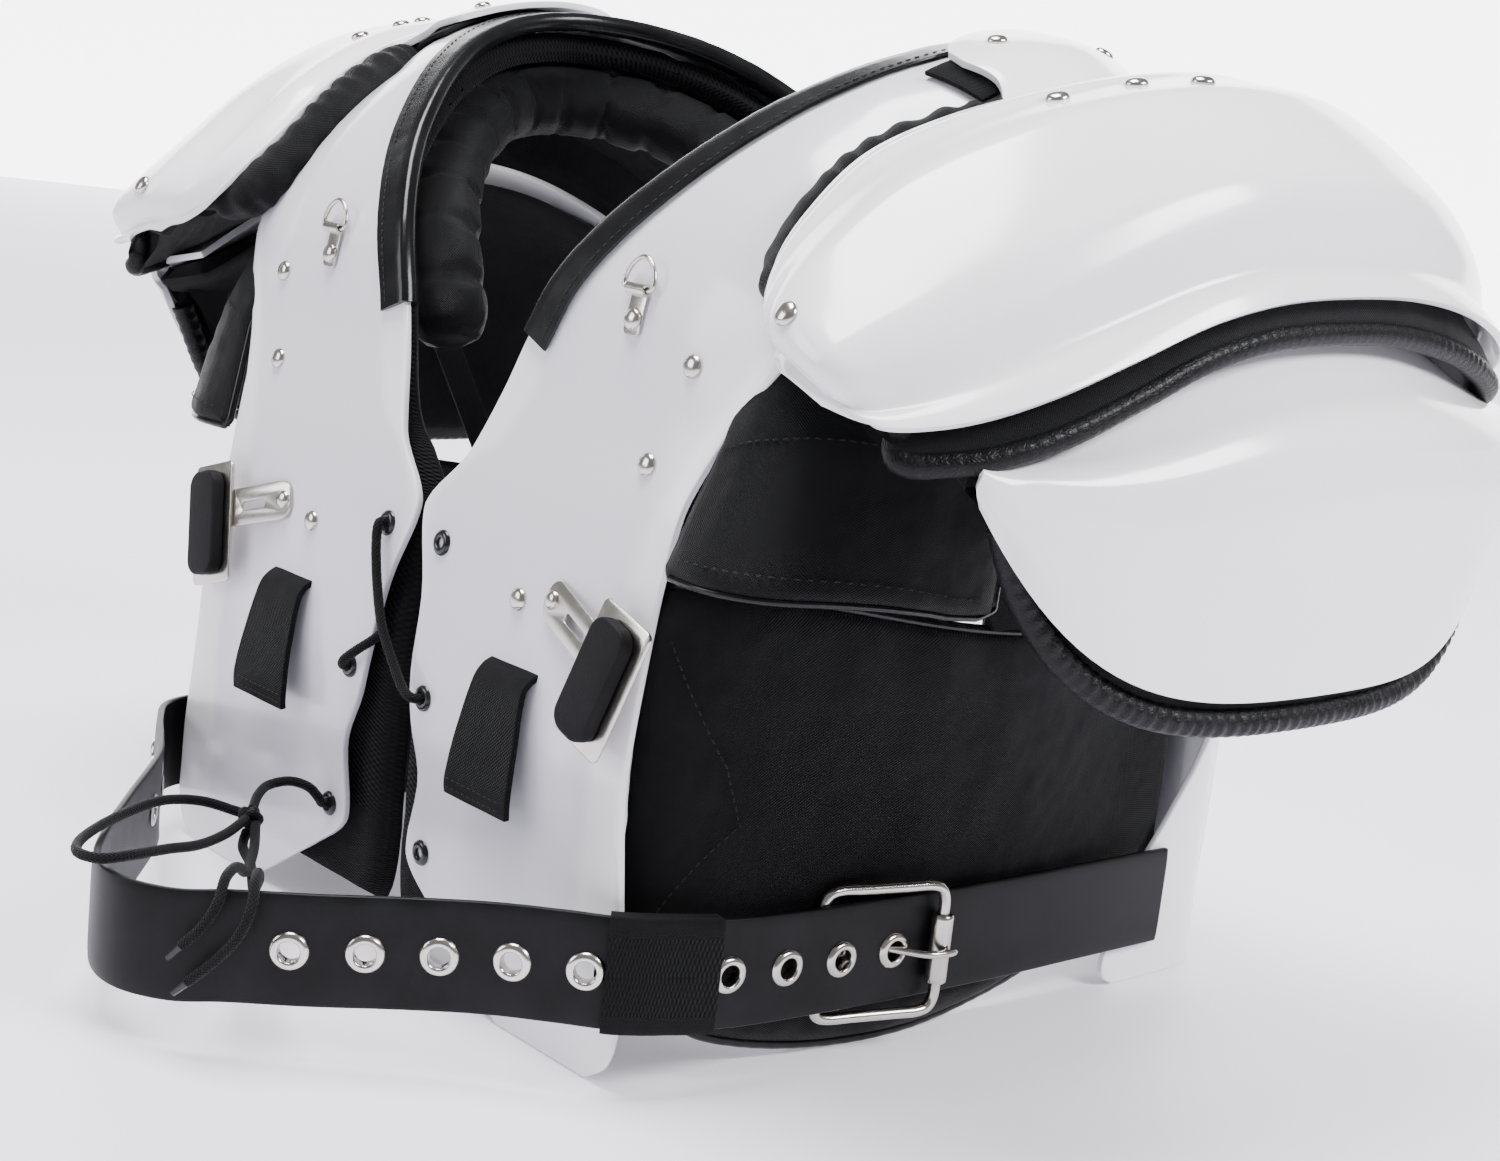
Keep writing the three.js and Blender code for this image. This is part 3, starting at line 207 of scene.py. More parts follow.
def clamp(x, low=0.0, high=1.0):
    return min(max(x, low), high)


def smoothStep(x, low, high):
    t = clamp((x - low) / (high - low))
    return t * t * (3 - 2 * t)


def metres(point):
    return Vector((point[0] / 1000, (point[1] + shiftY) / 1000, point[2] / 1000))


def archColumn(t, name, scale=1):
    return column(archRows, archRowsColumns, t, name, scale)


def archFrame(across, v):
    depth = lambda t: (lambda share: share * (archSize["frontDepth"] if share < 0 else archSize["backDepth"]))(
        archColumn(t, "y"))
    height = lambda t: archColumn(t, "z", archSize["height"])
    before, after = clamp(v - 0.003), clamp(v + 0.003)
    along = Vector((0, depth(after) - depth(before), height(after) - height(before))).normalized()
    outward = Vector((0, -along.z, along.y))
    half = archSize["chestHalf"]
    bend = archColumn(v, "bend") / half
    start = max(archSize["bendFrom"] * half, archColumn(v, "inner", half) + 18)
    beyond = max(0, across - start)
    angle = min(bend * beyond, math.pi / 2)
    straight = max(0, beyond - math.pi / 2 / bend)
    x = min(across, start) + math.sin(angle) / bend
    drop = (1 - math.cos(angle)) / bend + straight
    point = Vector((x, depth(v), height(v))) - outward * drop
    normal = outward * math.cos(angle) + Vector((math.sin(angle), 0, 0))
    side = Vector((math.cos(angle), 0, 0)) - outward * math.sin(angle)
    return point, normal, along, side


def archPoint(across, v, depth=0):
    point, normal, along, side = archFrame(across, v)
    return point - normal * depth


def archEdge(v, name):
    return archColumn(v, name, archSize["chestHalf"])


def halved(low, high, isLow):
    # the share between low and high where a test turns
    for i in range(36):
        middle = (low + high) / 2
        if isLow(middle):
            low = middle
        else:
            high = middle
    return (low + high) / 2


def station(heightShare, back=False):
    # where along the arch its height is this share, in front or at the back
    crest = 24 / (len(archRows) - 1)
    return halved(1 if back else 0, crest, lambda t: archColumn(t, "z") < heightShare)


def onChest(x, z):
    # the chest plate's frame at x mm across and z mm up
    return archFrame(x, station(z / archSize["height"]))


def capEdge(v, side):
    read = lambda name, scale: column(capRows, capRowsColumns, v, side + name, scale)
    return Vector((capSize["startX"] + read("X", capSize["reach"]),
                   capSize["middleY"] + read("Y", capSize["halfLength"]),
                   capSize["topZ"] - read("Drop", capSize["drop"])))


def capSurface(u, v):
    inside = clamp(v)
    inner, outer = capEdge(inside, "in"), capEdge(inside, "out")
    point = inner.lerp(outer, u)
    crown = capSize["crown"] * (0.35 + 0.65 * math.sin(math.pi * inside)) * 4 * u * (1 - u)
    ridge = capSize["ridge"] * smoothStep(min(u - 0.14, 0.86 - u), 0, 0.2) * smoothStep(
        min(inside - 0.03, 0.97 - inside), 0, 0.08)
    chord = (outer - inner).normalized()
    tangent = capEdge(clamp(inside + 0.02), "in") - capEdge(clamp(inside - 0.02), "in")
    lift = chord.cross(tangent).normalized()
    point += lift * (crown + ridge)
    if v != inside:
        point += tangent.normalized() * (v - inside) * 2 * capSize["halfLength"]
    return point


def normalOf(surface, u, v, step=0.004):
    du = surface(u + step, v) - surface(u - step, v)
    dv = surface(u, v + step) - surface(u, v - step)
    return du.cross(dv).normalized()


def normalInside(surface, u, v):
    # the normal taken a hair inside the surface's edges
    return normalOf(surface, clamp(u, 0.01, 0.99), clamp(v, 0.01, 0.99))


def under(surface, u, v, depth):
    return surface(u, v) - normalOf(surface, u, v) * depth


def curvePoint(points, t):
    # a smooth curve through a few points, read at a share of them
    t = clamp(t) * (len(points) - 1)
    i = min(int(t), len(points) - 2)
    w = t - i
    p1, p2 = Vector(points[i]), Vector(points[i + 1])
    p0 = Vector(points[i - 1]) if i > 0 else p1 * 2 - p2
    p3 = Vector(points[i + 2]) if i + 2 < len(points) else p2 * 2 - p1
    return 0.5 * ((2 * p1) + (p2 - p0) * w + (2 * p0 - 5 * p1 + 4 * p2 - p3) * w * w
                  + (3 * p1 - p0 - 3 * p2 + p3) * w ** 3)


def cupSurface(u, v):
    half = math.radians(cupSize["halfAngle"])
    angle = lerp(-half, half, u)
    oval = lambda scale, height: Vector((cupSize["centreX"] + scale * cupSize["halfWidth"] * math.cos(angle),
                                         cupSize["centreY"] + scale * cupSize["halfLength"] * math.sin(angle),
                                         height))
    hem = cupSize["lowZ"] + (cupSize["middleZ"] - cupSize["lowZ"]) * abs(math.sin(angle) / math.sin(half)) ** 4
    top = under(capSurface, 0.86, lerp(0.2, 0.86, u), 27.4 + cupSize["wall"])
    path = [oval(0.97, hem), oval(1, lerp(hem, top.z, 0.3)), oval(0.99, lerp(hem, top.z, 0.66)), top]
    point = curvePoint(path, clamp(v))
    if v < 0:
        point += (curvePoint(path, 0.02) - curvePoint(path, 0)).normalized() * v * cupSize["height"]
    return point


def sideSurface(u, v):
    read = lambda name, scale: column(sideRows, sideRowsColumns, u, name, scale)
    tall = sideSize["height"]
    return Vector((read("x", archSize["chestHalf"]), read("y", archSize["frontDepth"]),
                   lerp(read("low", tall), read("high", tall), v)))


def flapSurface(u, v):
    read = lambda name, scale: column(flapRows, flapRowsColumns, u, name, scale)
    edge, depth = 0.93 * archSize["chestHalf"] + 0.3, archSize["frontDepth"]
    low = Vector((edge + read("lowX", flapSize["width"]), read("lowY", depth), flapSize["lowZ"]))
    high = Vector((edge + read("highX", flapSize["width"]), read("highY", depth),
                   flapSize["lowZ"] + read("highZ", flapSize["height"])))
    return low.lerp(high, v)


def beltFrame(t):
    at = lambda s: Vector((column(beltRows, beltRowsColumns, s, "x", archSize["chestHalf"]),
                           column(beltRows, beltRowsColumns, s, "y", archSize["frontDepth"]), 0))
    point = at(t)
    point.z = beltSize["middleZ"] + column(beltRows, beltRowsColumns, t, "rise", beltSize["width"])
    along = (at(min(t + 0.003, 1)) - at(max(t - 0.003, 0))).normalized()
    return point, along, Vector((along.y, -along.x, 0))


def beltPoint(t, lift, height):
    point, along, outward = beltFrame(t)
    return point + outward * lift + Vector((0, 0, height))


def beltShareAt(y):
    return halved(0.55, 1.0, lambda t: beltFrame(t)[0].y < y)


def beltShareFrom(start, length):
    step = math.copysign(0.0005, length)
    share, walked, last = start, 0.0, beltFrame(start)[0]
    while walked < abs(length) and 0 < share < 1:
        share += step
        here = beltFrame(share)[0]
        walked += (here - last).length
        last = here
    return share


def deselectAll():
    bpy.ops.object.select_all(action="DESELECT")


def active(obj):
    deselectAll()
    obj.select_set(True)
    bpy.context.view_layer.objects.active = obj


def applyAll(obj):
    active(obj)
    for modifier in list(obj.modifiers):
        bpy.ops.object.modifier_apply(modifier=modifier.name)


def outward(obj):
    active(obj)
    bpy.ops.object.mode_set(mode="EDIT")
    bpy.ops.mesh.select_all(action="SELECT")
    bpy.ops.mesh.normals_make_consistent(inside=False)
    bpy.ops.object.mode_set(mode="OBJECT")


def finishPiece(obj, name, material, body="root", nodes=(), angle=40):
    # smooth, dressed, riding on its body and standing for its nodes
    active(obj)
    bpy.ops.object.transform_apply(location=True, rotation=True, scale=True)
    bpy.ops.object.shade_smooth_by_angle(angle=math.radians(angle))
    obj.name = name
    obj.data.materials.clear()
    obj.data.materials.append(material)
    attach(obj, body)
    if nodes:
        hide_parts(*nodes)
    return obj


def linked(name, mesh):
    obj = bpy.data.objects.new(name, mesh)
    bpy.context.scene.collection.objects.link(obj)
    return obj


def fromBmesh(name, bm):
    mesh = bpy.data.meshes.new(name)
    bm.to_mesh(mesh)
    bm.free()
    obj = linked(name, mesh)
    outward(obj)
    return obj


def pairUp(obj, stem, material, cad=None, angle=40, body=None):
    # the wearer's left piece and its mirror image
    twin = linked(stem + "Right", obj.data.copy())
    twin.data.transform(Matrix.Scale(-1, 4, (1, 0, 0)))
    twin.data.flip_normals()
    for piece, side in ((obj, "Left"), (twin, "Right")):
        end = "_" + side.lower()
        finishPiece(piece, stem + side, material, body + end if body else "root",
                    [cad + end] if cad else (), angle)


def joined(parts, name):
    deselectAll()
    for part in parts:
        part.select_set(True)
    bpy.context.view_layer.objects.active = parts[0]
    if len(parts) > 1:
        bpy.ops.object.join()
    parts[0].name = name
    return parts[0]


def shapedGrid(name, place, across, along):
    # a flat grid laid onto a surface, its UV map in metres
    deselectAll()
    bpy.ops.mesh.primitive_grid_add(x_subdivisions=across, y_subdivisions=along, size=1)
    obj = bpy.context.object
    obj.name = name
    wide = sum((place(0.5 + i / 20, 0.5) - place(0.45 + i / 20, 0.5)).length for i in range(-9, 11)) / 1000
    tall = sum((place(0.5, 0.5 + i / 20) - place(0.5, 0.45 + i / 20)).length for i in range(-9, 11)) / 1000
    for uv in obj.data.uv_layers.active.data:
        uv.uv = (uv.uv[0] * wide, uv.uv[1] * tall)
    for vertex in obj.data.vertices:
        vertex.co = metres(place(vertex.co.x + 0.5, vertex.co.y + 0.5))
    return obj


def softRim(obj, width, segments=3):
    # rounds the sharp edges
    soft = obj.modifiers.new("rim", "BEVEL")
    soft.width = width / 1000
    soft.segments = segments
    soft.limit_method = "ANGLE"
    soft.angle_limit = math.radians(50)
    applyAll(obj)


def shell(obj, thick, rim, segments=3):
    # a wall below the sheet with a rounded rim
    wall = obj.modifiers.new("wall", "SOLIDIFY")
    wall.thickness = thick / 1000
    wall.offset = -1
    wall.use_even_offset = True
    softRim(obj, rim, segments)
    outward(obj)


def sheetPair(name, surface, across, along, thick, rim, segments, material, cad):
    sheet = shapedGrid(name, surface, across, along)
    shell(sheet, thick, rim, segments)
    pairUp(sheet, name, material, cad)


def cutBy(obj, cutter):
    # takes the cutter's form out of the piece
    punch = obj.modifiers.new("punch", "BOOLEAN")
    punch.operation = "DIFFERENCE"
    punch.solver = "EXACT"
    punch.object = cutter
    applyAll(obj)
    bpy.data.objects.remove(cutter)


def swept(name, points, radius, sides=12, closed=False, profile=None):
    # a tube along points in mm; profile(i, angle, along) scales its radius
    count = len(points)
    points = [Vector(p) for p in points]
    tangents = []
    for i in range(count):
        ahead = points[(i + 1) % count] if closed or i < count - 1 else points[i]
        behind = points[i - 1] if closed or i > 0 else points[i]
        tangents.append((ahead - behind).normalized())
    side = tangents[0].cross(Vector((0.13, 0.21, 1))).normalized()
    verts, faces = [], []
    lengths = [0.0]
    for i in range(count):
        if i:
            lengths.append(lengths[-1] + (points[i] - points[i - 1]).length)
        side = (side - tangents[i] * side.dot(tangents[i])).normalized()
        other = tangents[i].cross(side)
        for k in range(sides):
            angle = 2 * math.pi * k / sides
            reach = radius * (profile(i, angle, lengths[i]) if profile else 1)
            verts.append(metres(points[i] + (side * math.cos(angle) + other * math.sin(angle)) * reach))
    rings = count if closed else count - 1
    for i in range(rings):
        for k in range(sides):
            a, b = i * sides + k, i * sides + (k + 1) % sides
            c, d = (i + 1) % count * sides + k, (i + 1) % count * sides + (k + 1) % sides
            faces.append((a, b, d, c))
    if not closed:
        faces.append(tuple(reversed(range(sides))))
        faces.append(tuple((count - 1) * sides + k for k in range(sides)))
    mesh = bpy.data.meshes.new(name)
    mesh.from_pydata(verts, [], faces)
    obj = linked(name, mesh)
    layer = mesh.uv_layers.new(name="alongAround")
    for face in mesh.polygons:
        for loop in face.loop_indices:
            vertex = mesh.loops[loop].vertex_index
            layer.data[loop].uv = (lengths[vertex // sides] / 1000,
                                   vertex % sides / sides * 2 * math.pi * radius / 1000)
    outward(obj)
    return obj


def sweptPair(name, points, radius, sides, profile, material, closed=False):
    pairUp(swept(name, points, radius, sides, closed, profile), name, material, angle=60)


def evenly(points, step):
    # points a step apart on a smooth curve through the given ones
    fine = [curvePoint(points, i / (len(points) * 24)) for i in range(len(points) * 24 + 1)]
    total = sum((b - a).length for a, b in zip(fine, fine[1:]))
    count = max(2, round(total / step))
    out, walked, target = [fine[0]], 0.0, total / count
    for a, b in zip(fine, fine[1:]):
        piece = (b - a).length
        while walked + piece >= target * len(out) and len(out) < count:
            out.append(a.lerp(b, (target * len(out) - walked) / piece))
        walked += piece
    out.append(fine[-1])
    return out, total


def frameMatrix(centre, xAxis, yAxis, zAxis):
    place = metres(centre)
    return Matrix(((xAxis.x, yAxis.x, zAxis.x, place.x), (xAxis.y, yAxis.y, zAxis.y, place.y),
                   (xAxis.z, yAxis.z, zAxis.z, place.z), (0, 0, 0, 1)))


def setAt(obj, centre, normal):
    # stands a piece made round the origin, +Z up, on a surface
    along = Vector((0, 0, 1)) if abs(normal.z) < 0.9 else Vector((0, 1, 0))
    across = along.cross(normal).normalized()
    obj.data.transform(frameMatrix(centre, across, normal.cross(across), normal))
    return obj


def setInputs(node, **values):
    # To_Min stands for the input "To Min"
    for name, value in values.items():
        node.inputs[name.replace("_", " ")].default_value = value


def newMaterial(name, slot, colour, roughness, metallic=0.0):
    material = bpy.data.materials.new(name)
    material.use_nodes = True
    material["slot"] = slot
    shader = material.node_tree.nodes["Principled BSDF"]
    setInputs(shader, Base_Color=(*colour, 1), Roughness=roughness, Metallic=metallic)
    material.diffuse_color = (*colour, 1)
    return material, material.node_tree.nodes, material.node_tree.links, shader


def bumpFrom(nodes, links, shader, height, strength, distance):
    bump = nodes.new("ShaderNodeBump")
    setInputs(bump, Strength=strength, Distance=distance)
    links.new(height, bump.inputs["Height"])
    links.new(bump.outputs["Normal"], shader.inputs["Normal"])


def roughFrom(nodes, links, shader, value, low, high):
    spread = nodes.new("ShaderNodeMapRange")
    setInputs(spread, To_Min=low, To_Max=high)
    links.new(value, spread.inputs["Value"])
    links.new(spread.outputs["Result"], shader.inputs["Roughness"])


def objectNoise(nodes, links, scale, detail):
    place = nodes.new("ShaderNodeTexCoord")
    cloud = nodes.new("ShaderNodeTexNoise")
    setInputs(cloud, Scale=scale, Detail=detail)
    links.new(place.outputs["Object"], cloud.inputs["Vector"])
    return cloud.outputs["Fac"]


def ramp(nodes, links, value, stops):
    blend = nodes.new("ShaderNodeValToRGB")
    for element, (place, colour) in zip(blend.color_ramp.elements, stops):
        element.position, element.color = place, (*colour, 1)
    links.new(value, blend.inputs["Fac"])
    return blend.outputs["Color"]


def math2(nodes, links, kind, a, b):
    node = nodes.new("ShaderNodeMath")
    node.operation = kind
    for i, value in enumerate((a, b)):
        if isinstance(value, (int, float)):
            node.inputs[i].default_value = value
        else:
            links.new(value, node.inputs[i])
    return node.outputs[0]


def uvBands(nodes, links, period, axis):
    # a sine along one direction of the piece's own UV map
    place = nodes.new("ShaderNodeUVMap")
    split = nodes.new("ShaderNodeSeparateXYZ")
    links.new(place.outputs["UV"], split.inputs[0])
    turn = math2(nodes, links, "MULTIPLY", split.outputs[axis], 2 * math.pi / period)
    return math2(nodes, links, "SINE", turn, 0)


def shellPlastic(name, colour, paddingShade=False):
    material, nodes, links, shader = newMaterial(name, "shell", colour, 0.2)
    setInputs(shader, Coat_Weight=0.35, Coat_Roughness=0.1, IOR=1.49)
    cloud = objectNoise(nodes, links, 9, 4)
    grey = ramp(nodes, links, cloud, ((0.3, [c * 0.965 for c in colour]), (0.7, colour)))
    # painted shade: the colour is darkened where the black lining lies behind the translucent plate
    if paddingShade:
        shade = nodes.new("ShaderNodeAttribute")
        shade.attribute_name = "paddingShade"
        mix = nodes.new("ShaderNodeMix")
        mix.data_type = "RGBA"
        mix.inputs["B"].default_value = (colour[0] * 0.83, colour[1] * 0.825, colour[2] * 0.86, 1)
        links.new(shade.outputs["Fac"], mix.inputs["Factor"])
        links.new(grey, mix.inputs["A"])
        grey = mix.outputs["Result"]
    links.new(grey, shader.inputs["Base Color"])
    roughFrom(nodes, links, shader, objectNoise(nodes, links, 60, 6), 0.13, 0.27)
    bumpFrom(nodes, links, shader, objectNoise(nodes, links, 26, 2), 0.05, 0.004)
    return material


def wovenCloth(name, slot, colour, periodU, periodV, roughness, strength, sheen):
    material, nodes, links, shader = newMaterial(name, slot, colour, roughness)
    setInputs(shader, Sheen_Weight=sheen, Sheen_Roughness=0.4, Specular_IOR_Level=0.09)
    over = uvBands(nodes, links, periodU, 0)
    along = uvBands(nodes, links, periodV, 1)
    weave = math2(nodes, links, "MULTIPLY", over, along)
    links.new(ramp(nodes, links, math2(nodes, links, "MULTIPLY_ADD", weave, 0.5),
                   ((0.15, [c * 0.55 for c in colour]), (0.85, [c * 1.5 for c in colour]))),
              shader.inputs["Base Color"])
    folds = math2(nodes, links, "MULTIPLY", objectNoise(nodes, links, 34, 4), 3.0)
    bumpFrom(nodes, links, shader, math2(nodes, links, "ADD", weave, folds), strength, 0.0007)
    return material


def grainedVinyl(name, colour, roughness, grain, strength, slot="vinyl", coat=0.0):
    material, nodes, links, shader = newMaterial(name, slot, colour, roughness)
    setInputs(shader, Coat_Weight=coat, Coat_Roughness=0.15, Specular_IOR_Level=0.13)
    place = nodes.new("ShaderNodeTexCoord")
    cells = nodes.new("ShaderNodeTexVoronoi")
    cells.feature = "DISTANCE_TO_EDGE"
    cells.inputs["Scale"].default_value = grain
    links.new(place.outputs["Object"], cells.inputs["Vector"])
    pores = math2(nodes, links, "MINIMUM", cells.outputs["Distance"], 0.18)
    worn = objectNoise(nodes, links, 45, 5)
    links.new(ramp(nodes, links, worn, ((0.35, [c * 0.7 for c in colour]), (0.7, [c * 1.6 for c in colour]))),
              shader.inputs["Base Color"])
    roughFrom(nodes, links, shader, worn, roughness - 0.07, roughness + 0.09)
    bumpFrom(nodes, links, shader, pores, strength, 0.0012)
    return material


def bareMetal(name, colour, roughness):
    material, nodes, links, shader = newMaterial(name, "nickel", colour, roughness, 1.0)
    scratches = objectNoise(nodes, links, 240, 6)
    roughFrom(nodes, links, shader, scratches, roughness - 0.06, roughness + 0.1)
    tone = objectNoise(nodes, links, 30, 2)
    links.new(ramp(nodes, links, tone, ((0.3, [c * 0.86 for c in colour]), (0.7, colour))),
              shader.inputs["Base Color"])
    bumpFrom(nodes, links, shader, scratches, 0.012, 0.0003)
    return material


# the chest plates carry painted shade where the lining lies behind them
platePlastic = shellPlastic("platePlastic", (0.885, 0.875, 0.92), paddingShade=True)
capPlastic = shellPlastic("capPlastic", (0.9, 0.89, 0.93))
blackCloth, blackVinyl = (0.0045, 0.0045, 0.0055), (0.005, 0.005, 0.006)
padNylon = wovenCloth("padNylon", "padding", blackCloth, 0.0011, 0.0011, 0.5, 0.5, 0.04)
liningMesh = wovenCloth("liningMesh", "padding", blackCloth, 0.0024, 0.0024, 0.75, 0.6, 0.04)
rollCloth = wovenCloth("rollCloth", "padding", blackCloth, 0.0011, 0.0011, 0.45, 0.45, 0.04)
strapWeave = wovenCloth("strapWeave", "webbing", blackCloth, 0.0014, 0.0009, 0.7, 0.7, 0.04)
cordWeave = wovenCloth("cordWeave", "cord", blackVinyl, 0.0016, 0.0014, 0.6, 0.5, 0.05)
bindingVinyl = grainedVinyl("bindingVinyl", blackVinyl, 0.24, 900, 0.08, coat=0.22)
rimLeather = grainedVinyl("rimLeather", blackCloth, 0.42, 620, 0.5, slot="padding", coat=0.05)
beltVinyl = grainedVinyl("beltVinyl", blackVinyl, 0.4, 1100, 0.12)
eyeletBlack = grainedVinyl("eyeletBlack", (0.01, 0.01, 0.012), 0.2, 500, 0.05, coat=0.5)
insertRubber = grainedVinyl("insertRubber", blackVinyl, 0.6, 800, 0.35, slot="rubber")
nickelPlate = bareMetal("nickelPlate", (0.62, 0.585, 0.54), 0.2)
rivetMetal = bareMetal("rivetMetal", (0.64, 0.605, 0.565), 0.18)
stitchThread = wovenCloth("stitchThread", "padding", (0.02, 0.02, 0.022), 0.0012, 0.0008, 0.6, 0.4, 0.05)
slotMaterials = {"shell": platePlastic, "padding": padNylon, "vinyl": beltVinyl, "webbing": strapWeave,
                 "cord": cordWeave, "nickel": nickelPlate, "rubber": insertRubber}
for part in frame["record"]["subparts"]:
    nodeMesh = frame["nodes"][part["node"]].data
    nodeMesh.materials.clear()
    nodeMesh.materials.append(slotMaterials[part["material_slot"]])
print("materials made")


# Camera at the photograph's angle
deselectAll()
bpy.ops.object.camera_add(location=metres((759.47, -660.54, 352.79)))
camera = bpy.context.object
camera.name = "photoCamera"
camera.data.lens = 55.2
camera.data.sensor_width = 36
camera.data.clip_start = 0.02
cameraRight = Vector((0.66053, 0.74313, 0.10709))
cameraUp = Vector((-0.21788, 0.05323, 0.97452))
cameraBack = Vector((0.71849, -0.66703, 0.19708))
camera.rotation_mode = "QUATERNION"
camera.rotation_quaternion = Matrix(((cameraRight.x, cameraUp.x, cameraBack.x),
                                     (cameraRight.y, cameraUp.y, cameraBack.y),
                                     (cameraRight.z, cameraUp.z, cameraBack.z))).to_quaternion()
bpy.context.scene.camera = camera

# Braided laces along the part's own routes
laces = {"diameter": 4.0, "step": 0.85, "sides": 14, "strands": 4, "turn": 8.6, "depth": 0.1}
laceRoutes = {
    "laceUpper": [
        (-19.8, -141.6, 174.3), (-19.8, -145.8, 174.6), (-18.2, -147.5, 166), (-12, -149.5, 150), (-2, -152.5, 136),
        (10, -154, 124), (20, -155.2, 116), (25.8, -154.8, 113.6), (27.2, -151.3, 113.1), (27.2, -148.5, 113.1),
    ],
    "laceLower": [
        (-27.2, -148.5, 113.1), (-26.8, -153.4, 113.6), (-23.4, -155.2, 117), (-17, -153.5, 122.5),
        (-11, -150, 128), (-7.5, -146.9, 132.5),
    ],
    "laceTail": [
        (-34.6, -148.5, 51.1), (-34.6, -153.6, 51.6), (-33.2, -156.8, 55), (-34.5, -161, 59.5), (-38, -168, 61.8),
        (-38, -178, 61.2), (-31.5, -186.5, 59.8), (-22.6, -194, 57.3),
    ],
    "laceBow": [
        (-23.3, -199.2, 56.6), (-32, -212, 60.3), (-31, -230, 63), (-22, -250, 63.2), (-10, -268, 63.2),
        (2, -281, 63.2), (13, -286.5, 63.2), (22, -282, 63.2), (21.5, -269, 62.6), (14, -251, 60),
        (5.5, -233, 56.5), (-4.5, -216, 55.5), (-15.8, -200.8, 56.1),
    ],
    "laceEndShort": [
        (-14.3, -197, 53.8), (4, -208, 50.5), (28, -225, 52), (48, -240, 62), (60, -249.5, 66.8),
        (68.5, -257.5, 66.8), (73.2, -262.6, 60), (70.5, -266.5, 51), (64.5, -271, 42.5),
    ],
    "laceEndLong": [
        (-17.6, -199, 50.3), (-12, -203.5, 46), (4, -209, 44.5), (34, -225, 47), (58, -237.5, 60),
        (68, -244, 67), (77.5, -250.5, 67.2),
        (83.8, -255.3, 60), (81.5, -258.8, 49), (75, -264, 38.5), (67.5, -269.5, 29.5),
    ],
}
laceNodes = {"laceUpper": "lace_upper", "laceLower": "lace_lower", "laceTail": "lace_tail", "laceBow": "lace_bow",
             "laceEndShort": "lace_end_short", "laceEndLong": "lace_end_long"}


def braid(i, angle, along):
    # two families of strands that wind opposite ways
    turn = 2 * math.pi * along / laces["turn"]
    left = abs(math.sin(laces["strands"] / 2 * (angle + turn)))
    right = abs(math.sin(laces["strands"] / 2 * (angle - turn)))
    return 1 - laces["depth"] + laces["depth"] * 1.35 * max(left, right) ** 0.7


cords, lines, lengths = {}, {}, {}
for name, route in laceRoutes.items():
    lines[name], lengths[name] = evenly(route, laces["step"])
    cords[name] = swept(name, lines[name], laces["diameter"] / 2, laces["sides"], profile=braid)
    finishPiece(cords[name], name, cordWeave, nodes=[laceNodes[name]], angle=60)

# The knot: an overhand wrap of the same cord
knot = {"centre": (-19, -197, 55.5), "ring": 3.1, "swell": 0.9, "rise": 2.3, "radius": 1.9, "points": 46}
knotTurns = []
for i in range(knot["points"]):
    a = i / (knot["points"] - 1) * 2 * math.pi * 2
    ring = knot["ring"] + knot["swell"] * math.sin(1.5 * a)
    knotTurns.append(Vector(knot["centre"]) + Vector((ring * math.cos(a) * 0.95, ring * math.sin(a) * 0.9,
                                                      knot["rise"] * math.cos(1.5 * a + 0.4))))
laceKnot = swept("laceKnot", evenly(knotTurns, 0.8)[0], knot["radius"], laces["sides"], profile=braid)
finishPiece(laceKnot, "laceKnot", cordWeave, nodes=["lace_knot"], angle=60)

# Stiff dipped tips on the two ends
tip = {"radius": 1.75, "step": 1.5, "points": 7, "taper": 0.028}
tips = {}
for name, end in (("tipShort", "laceEndShort"), ("tipLong", "laceEndLong")):
    line = lines[end]
    direction = (line[-1] - line[-4]).normalized()
    start = line[-1] - direction * tip["step"]
    rod = [start + direction * tip["step"] * i for i in range(tip["points"])]
    tips[end] = swept(name, rod, tip["radius"], profile=lambda i, angle, along: 1 - tip["taper"] * along)
    finishPiece(tips[end], name, eyeletBlack, angle=50)

print("laces made", {name: round(length) for name, length in lengths.items()})


# Arch plates
plate = {"across": 36, "along": 170, "rim": 1.1}


def plateSurface(u, v):
    return archPoint(lerp(archEdge(v, "inner"), archEdge(v, "outer"), u), v)


archPlate = shapedGrid("archPlate", plateSurface, plate["across"], plate["along"])
# painted shade mask: 1 where the black lining lies behind the plate, fading to 0 past the lining's edges and at the
# plate's ends
shade = archPlate.data.attributes.new("paddingShade", "FLOAT", "POINT")
stride = plate["across"] + 1
for index in range(len(archPlate.data.vertices)):
    u, v = index % stride / plate["across"], index // stride / plate["along"]
    across = lerp(archEdge(v, "inner"), archEdge(v, "outer"), u)
    padIn, padOut = archEdge(v, "padIn"), archEdge(v, "padOut")
    inside = smoothStep(min(across - padIn - 4, padOut - across - 2), -4, 4)
    ends = smoothStep(min(v - station(0.06), station(0.05, True) - v) * 900, -6, 6)
    shade.data[index].value = inside * ends
shell(archPlate, archSize["wall"], plate["rim"])
pairUp(archPlate, "archPlate", platePlastic, "arch_plate")
print("plates made")

# Padded linings under the arches, of air mesh, sewn in panels
lining = {"depth": 8.4, "thick": 12, "across": 20, "along": 120, "wide": 110, "tall": 900, "reach": 9,
          "crown": 0.8, "folds": 0.5, "seams": (0.18, 0.34, 0.5, 0.66, 0.82)}
liningFrom, liningTo = station(0.035), station(0.035, True)


def rimPuff(u, v, wide, tall, reach):
    # 0 at a pad's rim, 1 inside it, with a round shoulder
    edge = min(u * wide, (1 - u) * wide, v * tall, (1 - v) * tall)
    t = clamp(edge / reach)
    return math.sqrt(max(0, 1 - (1 - t) ** 2))


def wrinkle(point, scale, seed):
    return noise.noise(Vector(point) * scale + Vector((seed, seed * 2.3, seed * 0.7)))


